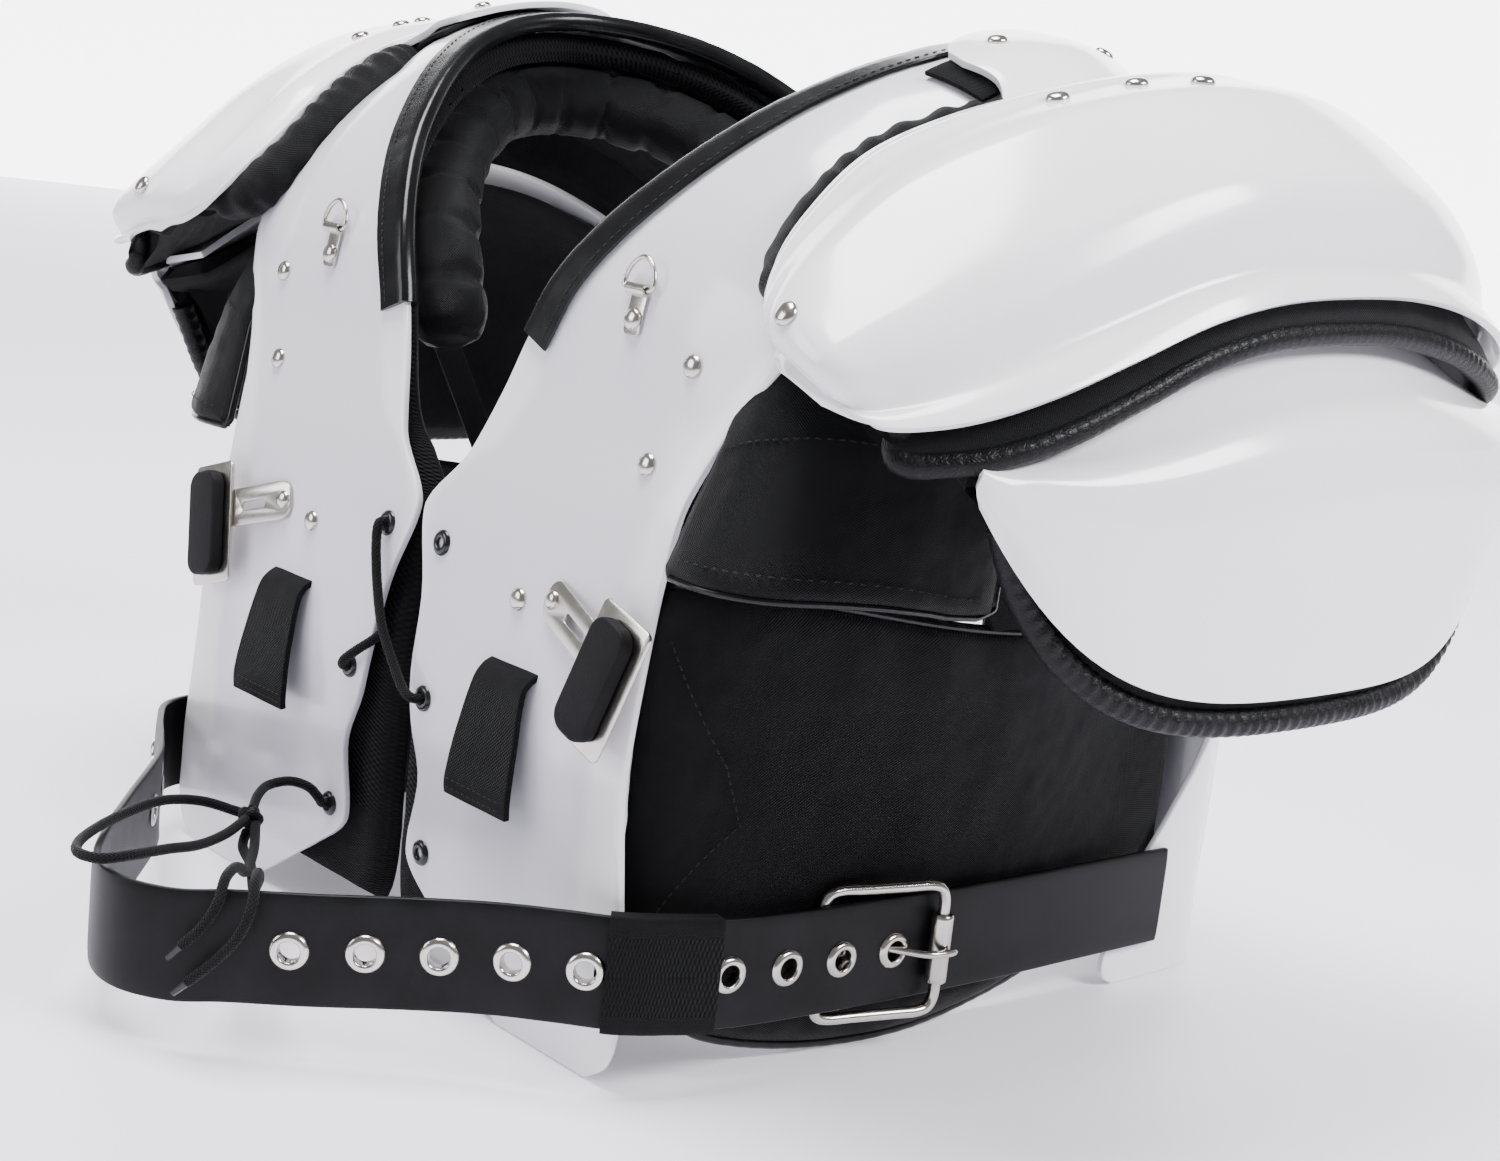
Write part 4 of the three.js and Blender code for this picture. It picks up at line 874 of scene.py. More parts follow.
def padded(name, surface, depth, thick, across, along, wide, tall, reach, crown, folds, seams=()):
    # a closed stuffed form below a surface, thin at its rim, with seams sunk into its outer face
    grid = shapedGrid(name, surface, across, along)
    stride = across + 1
    outer, inner = [], []
    for index in range(len(grid.data.vertices)):
        u, v = index % stride / across, index // stride / along
        puff = rimPuff(u, v, wide, tall, reach)
        base, normal = surface(u, v), normalInside(surface, u, v)
        sunk = sum(math.exp(-((v - s) * tall / 2.2) ** 2) for s in seams) * 2.0
        fold = folds * wrinkle(base, 0.045, len(name)) + folds * 0.5 * wrinkle(base, 0.14, len(name) + 3)
        outer.append(base - normal * (depth + thick * 0.5 * (1 - puff) - crown * puff - fold * puff + sunk))
        inner.append(base - normal * (depth + thick - thick * 0.42 * (1 - puff) + fold * puff))
    bm = bmesh.new()
    bm.from_mesh(grid.data)
    bm.verts.ensure_lookup_table()
    count = len(bm.verts)
    for index, vertex in enumerate(bm.verts):
        vertex.co = metres(outer[index])
    twin = bmesh.ops.duplicate(bm, geom=bm.verts[:] + bm.edges[:] + bm.faces[:])
    bm.verts.ensure_lookup_table()
    for index in range(count):
        bm.verts[count + index].co = metres(inner[index])
    backs = [face for face in twin["geom"] if isinstance(face, bmesh.types.BMFace)]
    bmesh.ops.reverse_faces(bm, faces=backs)
    borders = [edge for edge in bm.edges if edge.is_boundary]
    bmesh.ops.bridge_loops(bm, edges=borders)
    bm.to_mesh(grid.data)
    bm.free()
    outward(grid)
    return grid


def stuffedPair(name, surface, shape, material, cad):
    pairUp(padded(name, surface, **shape), name, material, cad, 60)


def liningSurface(u, v):
    at = lerp(liningFrom, liningTo, v)
    padIn = archEdge(at, "padIn")
    # behind the neck it reaches the plate's edge
    padIn += (archEdge(at, "inner") + 5 - padIn) * smoothStep(v, 0.42, 0.56)
    return archPoint(lerp(padIn, archEdge(at, "padOut"), u), at)


stuffedPair("archLining", liningSurface, lining, liningMesh, "arch_lining")

# Vinyl bindings folded over the plates' neck edges
binding = {"rows": 170, "pull": 0.16}
bindFrom, bindTo = round(station(0.668) * 40) / 40, round(station(0.7, True) * 40) / 40
bindProfile = [(15, 0.9), (15.4, 1.5), (15, 2.2), (12, 2.35), (8, 2.45), (4, 2.6), (0, 2.7), (-1.6, 2.1),
               (-2.6, 0.4), (-2.9, -1.5), (-2.6, -3.6), (-1.4, -5.2), (0.6, -5.9), (4, -6.0), (10, -5.9),
               (10.6, -5.2), (10, -4.5), (4, -4.5), (0, -4.3), (-1.1, -3), (-1.2, -1.5), (-1.0, 0), (0, 0.7),
               (7, 0.8)]
neckBinding = shapedGrid("neckBinding", lambda u, v: Vector((u * 60, v * 400, 0)), len(bindProfile) - 1,
                         binding["rows"])
stride = len(bindProfile)


def neckFrame(v):
    # the neck edge's point, its normal, the way along it and the way in from it
    point, normal = archFrame(archEdge(v, "inner"), v)[:2]
    behind, ahead = (archPoint(archEdge(at, "inner"), at) for at in (v - 0.004, v + 0.004))
    tangent = (ahead - behind).normalized()
    return point, normal, tangent, tangent.cross(normal).normalized()


for row in range(binding["rows"] + 1):
    point, normal, tangent, inward = neckFrame(lerp(bindFrom, bindTo, row / binding["rows"]))
    for k, (reach, lift) in enumerate(bindProfile):
        pull = binding["pull"] * wrinkle(Vector((row * 2.4, k * 0.7, 0)), 0.35, 5)
        neckBinding.data.vertices[row * stride + k].co = metres(point + inward * reach + normal * (lift + pull))
bm = bmesh.new()
bm.from_mesh(neckBinding.data)
bm.verts.ensure_lookup_table()
for row in range(binding["rows"]):
    bm.faces.new([bm.verts[i] for i in (row * stride + stride - 1, row * stride, (row + 1) * stride,
                                        (row + 1) * stride + stride - 1)])
for row, flip in ((0, False), (binding["rows"], True)):
    ring = [bm.verts[row * stride + k] for k in range(stride)]
    bm.faces.new(ring[::-1] if flip else ring)
bm.to_mesh(neckBinding.data)
bm.free()
outward(neckBinding)
pairUp(neckBinding, "neckBinding", bindingVinyl, "neck_binding", angle=50)

# Stitches along the bindings
stitch = {"pitch": 3.4, "length": 2.3, "radius": 0.34, "in": 11.5, "lift": 2.35}


def stitchLine(name, places):
    # places are (point, normal, along); each stitch is a small capsule of thread
    verts, faces = [], []
    for point, normal, along in places:
        across = normal.cross(along).normalized()
        base = len(verts)
        for t, wide in ((-0.5, 0.35), (-0.3, 1), (0.3, 1), (0.5, 0.35)):
            for k in range(6):
                a = 2 * math.pi * k / 6
                verts.append(metres(point + along * t * stitch["length"]
                                    + (across * math.cos(a) + normal * math.sin(a)) * stitch["radius"] * wide))
        for ring in range(3):
            for k in range(6):
                a, b = base + ring * 6 + k, base + ring * 6 + (k + 1) % 6
                faces.append((a, b, b + 6, a + 6))
        faces.append(tuple(base + k for k in reversed(range(6))))
        faces.append(tuple(base + 18 + k for k in range(6)))
    mesh = bpy.data.meshes.new(name)
    mesh.from_pydata(verts, [], faces)
    layer = mesh.uv_layers.new(name="thread")
    for index, loop in enumerate(mesh.loops):
        layer.data[index].uv = (mesh.vertices[loop.vertex_index].co.x, mesh.vertices[loop.vertex_index].co.z)
    obj = linked(name, mesh)
    outward(obj)
    return obj


places, walked, last = [], 0.0, None
for i in range(1600):
    point, normal, tangent, inward = neckFrame(lerp(bindFrom + 0.004, bindTo - 0.004, i / 1599))
    if last is not None:
        walked += (point - last).length
    last = point
    if walked >= stitch["pitch"] or i == 0:
        walked = 0.0
        places.append((point + inward * stitch["in"] + normal * stitch["lift"], normal, tangent))
pairUp(stitchLine("bindingStitches", places), "bindingStitches", stitchThread)

# Neck rolls, gathered at each seam
roll = {"radius": 17.2, "inset": 22, "depth": 38.3, "from": 0.64, "to": 0.76, "creases": 15, "sink": 0.13,
        "endRound": 16, "fill": 0.9}
rollFrom, rollTo = station(roll["from"]), station(roll["to"], True)
rollPath = []
for i in range(9):
    v = lerp(rollFrom, rollTo, i / 8)
    rollPath.append(archPoint(archEdge(v, "inner") + roll["inset"], v, roll["depth"]))
rollLine, rollLength = evenly(rollPath, 2.4)


def rollShape(i, angle, along):
    pitch = rollLength / roll["creases"]
    near = abs((along / pitch + 0.5) % 1 - 0.5) * pitch
    wander = 2.2 * math.sin(angle * 2 + along * 0.05)
    crease = math.exp(-((near + wander) / 2.2) ** 2)
    gathers = 0.02 * math.sin(angle * 9 + along * 0.3) * math.exp(-(near / 9) ** 2)
    ends = clamp(min(along, rollLength - along) / roll["endRound"])
    lumps = 0.05 * wrinkle(Vector((along, angle * 12, 0)), 0.05, 9)
    return (0.5 + 0.5 * math.sqrt(1 - (1 - ends) ** 2)) * (1 - roll["sink"] * crease) + gathers + lumps


neckRoll = swept("neckRoll", rollLine, roll["radius"], 36, profile=rollShape)
pairUp(neckRoll, "neckRoll", rollCloth, "neck_roll", angle=60)
print("linings, bindings and rolls made")


# Shoulder caps
cap = {"across": 60, "along": 140, "rim": 1.2, "flange": 13, "groove": 1.9, "dome": 4.2}


def capPressed(u, v):
    # a flat flange, a groove and a raised dome, as the sheet is pressed
    gaps = ((1 - u) * capSize["reach"], (u + 0.08) * capSize["reach"] * 1.2, v * 2 * capSize["halfLength"],
            (1 - v) * 2 * capSize["halfLength"])
    edge = -7 * math.log(sum(math.exp(-gap / 7) for gap in gaps))
    press = cap["dome"] * smoothStep(edge, cap["flange"] + 1, cap["flange"] + 17)
    press -= cap["groove"] * math.exp(-((edge - cap["flange"]) / 4.2) ** 2)
    return capSurface(u, v) + normalInside(capSurface, u, v) * press


sheetPair("shoulderCap", capPressed, cap["across"], cap["along"], capSize["wall"], cap["rim"], 3, capPlastic,
          "shoulder_cap")

# Pads under the caps, with a gathered and bound rim
padOver, padPast = capSize["padEdge"] / capSize["reach"], capSize["padEdge"] / capSize["halfLength"] / 2


def capPadSurface(u, v):
    return capSurface(lerp(0.02, 1 + padOver, u), lerp(0.02, 1 + padPast / 2, v))


capPad = {"depth": 9.0, "thick": capSize["padThick"], "across": 36, "along": 110, "wide": 150, "tall": 420,
          "reach": 9, "crown": 0.4, "folds": 0.8}
stuffedPair("capPad", capPadSurface, capPad, padNylon, "cap_pad")


def ringAround(surface, depth, steps):
    # points round a surface's four edges, a depth below them
    out = []
    corner = 0.03
    walk = ([(corner + (1 - 2 * corner) * i / steps, 0) for i in range(steps)]
            + [(1, corner + (1 - 2 * corner) * i / (steps * 2)) for i in range(steps * 2)]
            + [(1 - corner - (1 - 2 * corner) * i / steps, 1) for i in range(steps)]
            + [(0, 1 - corner - (1 - 2 * corner) * i / (steps * 2)) for i in range(steps * 2)])
    for u, v in walk:
        out.append(surface(u, v) - normalInside(surface, u, v) * depth)
    return out


def evenRing(points, step):
    return evenly(points + [points[0]], step)[0][:-1]


def gatherProfile(pitch, amount):
    # a bound rim that is pulled into small folds by its thread
    def shape(i, angle, along):
        fold = math.sin(2 * math.pi * along / pitch + 0.8 * math.sin(along * 0.21))
        return 1 + amount * fold * (0.6 + 0.4 * math.cos(2 * angle))
    return shape


rimRoute = []
for i in range(110):
    v = lerp(0.02, 0.98, i / 109)
    depth = capPad["depth"] + capPad["thick"] * 0.55
    rimRoute.append(capPadSurface(1, v) - normalOf(capPadSurface, 0.99, v) * depth)
sweptPair("capRim", evenly(rimRoute, 1.6)[0], 4.6, 14, gatherProfile(4.8, 0.06), rimLeather)

# The pad's swollen front, a soft roll that shows past the cap's inner edge
rollRoute = []
for i in range(15):
    v = lerp(0.5, 0.055, i / 14)
    normal = normalOf(capSurface, 0.01, max(v, 0.01))
    chord = (capEdge(v, "out") - capEdge(v, "in")).normalized()
    past = 11 * smoothStep(0.5 - v, 0.0, 0.16) - 5
    rollRoute.append(capSurface(0, v) - normal * (15.5 + 3 * smoothStep(0.16 - v, 0, 0.16)) - chord * past)
frontLine, frontLength = evenly(rollRoute, 1.8)


def frontShape(i, angle, along):
    ends = clamp(min(along, frontLength - along) / 34)
    tucks = 0.08 * math.sin(along * 0.55 + 1.4 * math.sin(along * 0.12)) * math.cos(angle + along * 0.02)
    lumps = 0.06 * wrinkle(Vector((along, angle * 9, 0)), 0.07, 8)
    return 0.25 + 0.75 * math.sqrt(1 - (1 - ends) ** 2) + tucks + lumps


padFront = swept("padFront", frontLine, 11, 28, profile=frontShape)
pairUp(padFront, "padFront", padNylon, angle=60)

# The bridge that carries the cap, and the strap under it
bridge = {"above": 7.4, "underCap": 4.4, "onArch": (0.78, 0.9, 0.98), "onCap": (0, 0.06, 0.12, 0.18),
          "wall": 3, "rim": 1.1, "rows": 30, "rounded": 0.16}
hinge = {"above": 3.2, "wall": 2, "rim": 0.5}


def bridgeSurface(u, v):
    capAt = lerp(0.4, 0.57, v)
    archAt = lerp(station(0.966), station(0.985, True), v)
    outer = archEdge(archAt, "outer")
    path = [archPoint(outer * share, archAt, -bridge["above"]) for share in bridge["onArch"]]
    path += [under(capSurface, share, capAt, bridge["underCap"]) for share in bridge["onCap"]]
    return curvePoint(path, clamp(u))


def bridgeRounded(u, v):
    # its inner end is round
    pull = (1 - math.sqrt(max(0, 1 - (2 * v - 1) ** 4))) * bridge["rounded"]
    return bridgeSurface(lerp(pull, 1, u), v)


sheetPair("bridgePlate", bridgeRounded, bridge["rows"], bridge["rows"], bridge["wall"], bridge["rim"], 3,
          capPlastic, "bridge_plate")


def strapSurface(u, v):
    at = lerp(station(0.958), station(0.979, True), v)
    return archPoint(lerp(0.84, 0.99, u) * archEdge(at, "outer"), at, -hinge["above"])


sheetPair("hingeStrap", strapSurface, 10, 24, hinge["wall"], hinge["rim"], 2, strapWeave, "hinge_strap")
print("caps made")

# Deltoid cups, with a low band pressed out near the top
cup = {"across": 56, "along": 40, "band": 1.8, "rim": 1.0}


def cupPressed(u, v):
    band = smoothStep(v, 0.6, 0.66) * (1 - smoothStep(v, 0.72, 0.78))
    ends = smoothStep(min(u, 1 - u), 0.02, 0.1)
    return cupSurface(u, v) + normalInside(cupSurface, u, v) * cup["band"] * band * ends


sheetPair("deltoidCup", cupPressed, cup["across"], cup["along"], cupSize["wall"], cup["rim"], 3, capPlastic,
          "deltoid_cup")


def cupPadSurface(u, v):
    hang = 13 / cupSize["height"] * max(0, 1 - 4 * v)
    return cupSurface(u, v - hang - 0.03 * max(0, 4 * v - 3))


cupPad = {"depth": 5.2, "thick": cupSize["padThick"], "across": 48, "along": 30, "wide": 330, "tall": 110,
          "reach": 8, "crown": 0.3, "folds": 0.8}
stuffedPair("deltoidPad", cupPadSurface, cupPad, padNylon, "deltoid_pad")

# The pad's gathered rim, turned out under the cup's hem
hemPoints = []
for i in range(90):
    u = i / 89
    hemPoints.append(under(cupSurface, clamp(u, 0.005, 0.995), -9.5 / cupSize["height"], 6.5))
sweptPair("cupRim", evenly(hemPoints, 1.5)[0], 5.4, 16, gatherProfile(5.6, 0.085), rimLeather)
print("cups made")

# Padded flaps beside the chest plates
flapMore = {"wider": 1.22, "taller": 1.46, "lessBehind": 0.5, "reach": 130, "sag": 9}


def flapTall(u, v):
    # its top runs on under the cap
    wide = u * flapMore["wider"]
    at, high = min(wide, 1), v * (flapMore["taller"] - flapMore["lessBehind"] * smoothStep(u, 0.3, 1))
    past = (flapSurface(1, high) - flapSurface(0.94, high)).normalized() * max(0, wide - 1) * flapMore["reach"]
    sag = flapMore["sag"] * smoothStep(u, 0.45, 1) * (1 - v)
    return flapSurface(at, high) + past + Vector((-6, 4, 0)) * smoothStep(v, 0.6, 1) - Vector((0, 0, sag))


armFlap = {"depth": 0.4, "thick": flapSize["thick"], "across": 40, "along": 44, "wide": 100, "tall": 95,
           "reach": 7, "crown": 1.2, "folds": 0.9}
stuffedPair("armFlap", flapTall, armFlap, padNylon, "arm_flap")
sweptPair("flapPiping", evenRing(ringAround(flapTall, 3.2, 40), 1.6), 1.7, 10, gatherProfile(6, 0.03),
          bindingVinyl, closed=True)

# Side pads: stuffed nylon panels with a piped rim and a sewn corner
sidePad = {"depth": 0.6, "thick": sideSize["thick"], "across": 90, "along": 60, "wide": 330, "tall": 165,
           "reach": 14, "crown": 2.2, "folds": 1.1}
stuffedPair("sidePad", sideSurface, sidePad, padNylon, "side_pad")
sweptPair("sidePiping", evenRing(ringAround(sideSurface, 6.0, 60), 1.8), 2.3, 12, gatherProfile(9, 0.03),
          bindingVinyl, closed=True)


def seamOn(surface, corners, lift, pitch=3.2):
    # stitch places along straight runs of a surface's own shares
    line = []
    for (u0, v0), (u1, v1) in zip(corners, corners[1:]):
        line += [(lerp(u0, u1, i / 60), lerp(v0, v1, i / 60)) for i in range(60)]
    found, walked, last = [], pitch, None
    for u, v in line:
        normal = normalOf(surface, u, v)
        point = surface(u, v) + normal * lift
        if last is not None:
            walked += (point - last).length
            if walked >= pitch:
                walked = 0.0
                found.append((point, normal, (point - last).normalized()))
        last = point
    return found


sideSeam = seamOn(sideSurface, [(0.12, 0.9), (0.3, 0.62), (0.33, 0.5), (0.16, 0.22)], 2.0)
pairUp(stitchLine("sideSeam", sideSeam), "sideSeam", stitchThread)
flapSeam = seamOn(flapTall, [(0.06, 0.62), (0.94, 0.64)], 1.2) + seamOn(flapTall, [(0.06, 0.09), (0.94, 0.09)], 1.2)
pairUp(stitchLine("flapSeam", flapSeam), "flapSeam", stitchThread)
print("flaps and side pads made")


# The belt: a vinyl strip with rows of nickel eyelets
eyelet = {"drill": 4.35, "drillDeep": 14, "sides": 40}
prongShare = beltShareAt(-0.21 * archSize["frontDepth"])
rollerShare = beltShareFrom(prongShare, 20)
eyeletShares = [prongShare]
for i in range(1, beltSize["front"]):
    eyeletShares.append(beltShareFrom(eyeletShares[-1], -beltSize["pitch"]))
eyeletShares.append(beltShareFrom(prongShare, -beltSize["farStart"]))
for i in range(beltSize["far"] - 1):
    eyeletShares.append(beltShareFrom(eyeletShares[-1], -beltSize["pitch"]))


def beltSurface(u, v):
    # the outer face; the edges roll in by a hair
    height = (v - 0.5) * beltSize["width"]
    return beltPoint(u, beltSize["wall"] - 0.5 * abs(2 * v - 1) ** 6, height)


belt = shapedGrid("belt", beltSurface, 420, 10)
shell(belt, beltSize["wall"], 1.0)
drills = []
for share in eyeletShares:
    deselectAll()
    bpy.ops.mesh.primitive_cylinder_add(vertices=eyelet["sides"], radius=eyelet["drill"] / 1000,
                                        depth=eyelet["drillDeep"] / 1000)
    point, along, out = beltFrame(share)
    drills.append(setAt(bpy.context.object, point + out * beltSize["wall"] / 2, out))
cutBy(belt, joined(drills, "drill"))
finishPiece(belt, "belt", beltVinyl, nodes=["belt"], angle=35)

# One eyelet: a rolled flange on the face, a barrel through and a washer behind
eyeletOutline = [(4.0, 3.4), (4.1, 4.3), (4.6, 4.75), (5.4, 4.8), (6.4, 4.45), (7.2, 3.75), (7.4, 3.1),
                 (6.6, 3.02), (4.35, 3.02), (4.35, -0.05), (6.6, -0.05), (6.9, -0.35), (6.4, -0.8),
                 (5.0, -0.95), (4.2, -0.7), (4.0, -0.1)]


def turned(name, outline, sides):
    # a turned piece: the outline spun round Z, closed on itself or on the axis
    bm = bmesh.new()
    verts = [bm.verts.new((r / 1000, 0, h / 1000)) for r, h in outline]
    edges = [bm.edges.new((a, b)) for a, b in zip(verts, verts[1:] + verts[:1])]
    bmesh.ops.spin(bm, geom=verts + edges, cent=(0, 0, 0), axis=(0, 0, 1), angle=2 * math.pi, steps=sides,
                   use_merge=True)
    bmesh.ops.remove_doubles(bm, verts=bm.verts, dist=1e-7)
    return fromBmesh(name, bm)


def headsAt(name, outline, places, scale=1.0, sides=40):
    # one turned piece copied to places of (point, normal), joined into one
    model = turned(name + "Model", [(r * scale, h * scale) for r, h in outline], sides)
    heads = [setAt(linked(name, model.data.copy()), point, normal) for point, normal in places]
    bpy.data.objects.remove(model)
    return joined(heads, name)


beltEyelets = headsAt("beltEyelets", eyeletOutline, [beltFrame(share)[::2] for share in eyeletShares])
finishPiece(beltEyelets, "beltEyelets", rivetMetal, angle=50)

# The strap behind the buckle and the keeper round both
strap = {"bar": -34, "toKeeper": -52, "past": -46, "gap": -2.9, "lift": -0.3, "width": 37, "wall": 1.4}
barShare = beltShareFrom(prongShare, strap["bar"])
keeper = {"length": -42, "over": 1.0, "middle": 1.3, "depth": 4.2, "points": 40, "wall": 1.4}
keeperTo = beltShareFrom(barShare, strap["toKeeper"])
keeperFrom = beltShareFrom(keeperTo, keeper["length"])
strapFrom, strapTo = beltShareFrom(keeperTo, strap["past"]), beltShareFrom(barShare, strap["gap"])
buckleStrap = shapedGrid("buckleStrap", lambda u, v: beltPoint(lerp(strapFrom, strapTo, u), strap["lift"],
                                                               (v - 0.5) * strap["width"]), 60, 8)
shell(buckleStrap, strap["wall"], 0.4, 2)
finishPiece(buckleStrap, "buckleStrap", strapWeave, nodes=["buckle_strap"])
keeperHalf = beltSize["width"] / 2 + keeper["over"]
keeperOutline = []
for i in range(keeper["points"]):
    a = 2 * math.pi * i / keeper["points"]
    tall = math.copysign(abs(math.sin(a)) ** 0.22, math.sin(a)) * keeperHalf
    deep = keeper["middle"] + math.copysign(abs(math.cos(a)) ** 0.3, math.cos(a)) * keeper["depth"]
    keeperOutline.append((deep, tall))


def keeperSurface(u, v):
    i = v * keeper["points"]
    a, b = keeperOutline[int(i) % keeper["points"]], keeperOutline[(int(i) + 1) % keeper["points"]]
    w = i - int(i)
    share = lerp(keeperFrom, keeperTo, u)
    bulge = 0.3 * wrinkle(Vector((u * 40, v * 60, 0)), 0.12, 4)
    return beltPoint(share, lerp(a[0], b[0], w) + bulge, lerp(a[1], b[1], w))


beltKeeper = shapedGrid("beltKeeper", keeperSurface, 40, 80)
weld = beltKeeper.modifiers.new("weld", "WELD")
weld.merge_threshold = 0.00005
applyAll(beltKeeper)
outward(beltKeeper)
shell(beltKeeper, keeper["wall"], 0.5, 2)
finishPiece(beltKeeper, "beltKeeper", strapWeave, nodes=["belt_keeper"])

# Buckle: a bent wire frame, a roller and a prong
buckle = {"wire": 2.25, "play": 2.3, "lift": -2.55, "rollerLift": 7.7, "rollerRadius": 4.4, "prong": 1.6,
          "corner": 0.14}
buckleHalf = beltSize["width"] / 2 + buckle["wire"] + buckle["play"]
bar = beltPoint(barShare, buckle["lift"], 0)
rollerPlace = beltPoint(rollerShare, buckle["rollerLift"], 0)
alongBuckle = rollerPlace - bar
corner = buckle["corner"]
halfOutline = [(0, 0.4), (0, 0.75), (corner * 0.3, 0.94), (corner, 1), (0.3, 1), (0.5, 1), (0.7, 1),
               (1 - corner, 1), (1 - corner * 0.3, 0.94), (1, 0.75), (1, 0.4)]
frameOutline = [(0, 0), *halfOutline, (1, 0), *[(s, -h) for s, h in reversed(halfOutline)]]
framePoints = [bar + alongBuckle * s + Vector((0, 0, h * buckleHalf)) for s, h in frameOutline]
buckleFrame = swept("buckleFrame", evenRing(framePoints, 1.4), buckle["wire"], 20, closed=True)
finishPiece(buckleFrame, "buckleFrame", nickelPlate, nodes=["buckle_frame"], angle=60)
rollerOutline = [(2.6, -14), (3.9, -14), (4.35, -13.5), (4.4, -12), (4.4, 12), (4.35, 13.5), (3.9, 14),
                 (2.6, 14)]
roller = turned("buckleRoller", rollerOutline, 40)
rollerAlong, up = beltFrame(rollerShare)[1], Vector((0, 0, 1))
roller.data.transform(frameMatrix(rollerPlace, rollerAlong, rollerAlong.cross(up) * -1, up))
outward(roller)
finishPiece(roller, "buckleRoller", nickelPlate, nodes=["buckle_roller"])
prongTop = buckle["rollerLift"] + buckle["rollerRadius"] + buckle["prong"] + 0.3
prongPath = [beltPoint(beltShareFrom(start, length), lift, 0) for start, length, lift in (
    (barShare, 4.2, buckle["lift"]), (prongShare, -5.5, buckle["lift"]), (prongShare, 0, 1.5),
    (prongShare, 9, prongTop - 2.5), (rollerShare, -4, prongTop), (rollerShare, 3, prongTop))]
prongLine, prongLength = evenly(prongPath, 0.9)
prong = swept("buckleProng", prongLine, buckle["prong"], 16,
              profile=lambda i, angle, along: math.sqrt(clamp((prongLength - along + 0.4) / 2.4)) * 0.98)
finishPiece(prong, "buckleProng", nickelPlate, nodes=["buckle_prong"], angle=60)
print("belt and buckle made")


def turnedAxes(place, tilt):
    along, side = place[2:]
    down = along * -math.cos(tilt) - side * math.sin(tilt)
    across = side * math.cos(tilt) - along * math.sin(tilt)
    return down, across


def roundedPlate(name, wide, long, thick, radius, rim, slits=()):
    # a flat pressed plate round the origin: rounded corners, cut slits, soft edges
    outline = []
    for cx, cy, start in ((1, 1, 0), (-1, 1, 90), (-1, -1, 180), (1, -1, 270)):
        for i in range(9):
            a = math.radians(start + i * 90 / 8)
            outline.append((cx * (wide / 2 - radius) + radius * math.cos(a),
                            cy * (long / 2 - radius) + radius * math.sin(a)))
    bm = bmesh.new()
    face = bm.faces.new([bm.verts.new((x / 1000, y / 1000, -thick / 2000)) for x, y in outline])
    lifted = bmesh.ops.extrude_face_region(bm, geom=[face])
    for vertex in lifted["geom"]:
        if isinstance(vertex, bmesh.types.BMVert):
            vertex.co.z += thick / 1000
    obj = fromBmesh(name, bm)
    for x, y, slitWide, slitLong in slits:
        cutter = roundedPlate(name + "Slit", slitWide, slitLong, thick * 4, min(slitWide, slitLong) * 0.45, 0)
        cutter.data.transform(Matrix.Translation((x / 1000, y / 1000, 0)))
        cutBy(obj, cutter)
    if rim:
        softRim(obj, rim)
    return obj


# Hooks: a slotted bracket and a flat plate with a rubber insert
hookPlan = {"across": 0.588, "up": 0.433, "plateOut": 0.265, "plateDown": 0.052, "plateLift": 7.6,
            "bracketLong": 44, "bracketWide": 17, "bracketTurn": -0.62 - math.pi / 5, "turn": 0.3,
            "insertLift": 4.1}
hookFrame = onChest(hookPlan["across"] * archSize["chestHalf"], hookPlan["up"] * archSize["height"])
hookStart, chestOut, chestUp, chestSide = hookFrame
bracketDown = turnedAxes(hookFrame, hookPlan["bracketTurn"])[0]
hookDown, hookAcross = turnedAxes(hookFrame, hookPlan["turn"])
hookNormal = hookAcross.cross(hookDown) * -1
hookCentre = (hookStart + chestSide * hookPlan["plateOut"] * archSize["chestHalf"]
              - chestUp * hookPlan["plateDown"] * archSize["height"] + chestOut * hookPlan["plateLift"])
hookPlate = roundedPlate("hookPlate", 30, 54, 1.6, 3.2, 0.5)
hookPlate.data.transform(frameMatrix(hookCentre, hookAcross, hookDown * -1, hookNormal))
bracketLong, bracketWide = hookPlan["bracketLong"], hookPlan["bracketWide"]
lean = (bracketDown * bracketLong + chestOut * 6).normalized()
bracketFace = lean.cross(bracketDown.cross(chestOut)).normalized() * -1
if bracketFace.dot(chestOut) < 0:
    bracketFace = bracketFace * -1
bracketSide = lean.cross(bracketFace).normalized()
bracketMiddle = hookStart + lean * (bracketLong / 2 - bracketWide / 4) + chestOut * 1.4
bracket = roundedPlate("bracket", bracketWide, bracketLong, 1.6, 6.5, 0.4, [(0, 2.6, 3.7, 15.8)])
bracket.data.transform(frameMatrix(bracketMiddle, bracketSide, lean, bracketFace))
pairUp(joined([hookPlate, bracket], "hook"), "hook", nickelPlate, "hook", angle=30)
insert = roundedPlate("hookInsert", 20.4, 46.4, 6, 7.1, 1.3)
insert.data.transform(frameMatrix(hookCentre + hookNormal * hookPlan["insertLift"], hookAcross, hookDown * -1,
                                  hookNormal))
pairUp(insert, "hookInsert", insertRubber, "hook_insert", angle=45)

# Webbing tabs that hang out of the plates' slots, folded and sewn at the foot
slotPlace, slotOut, slotUp = (Vector(axis) for axis in ((80.85, -147.05, 138.06), (0, -0.98819, 0.15323),
                                                        (0, 0.15323, 0.98819)))


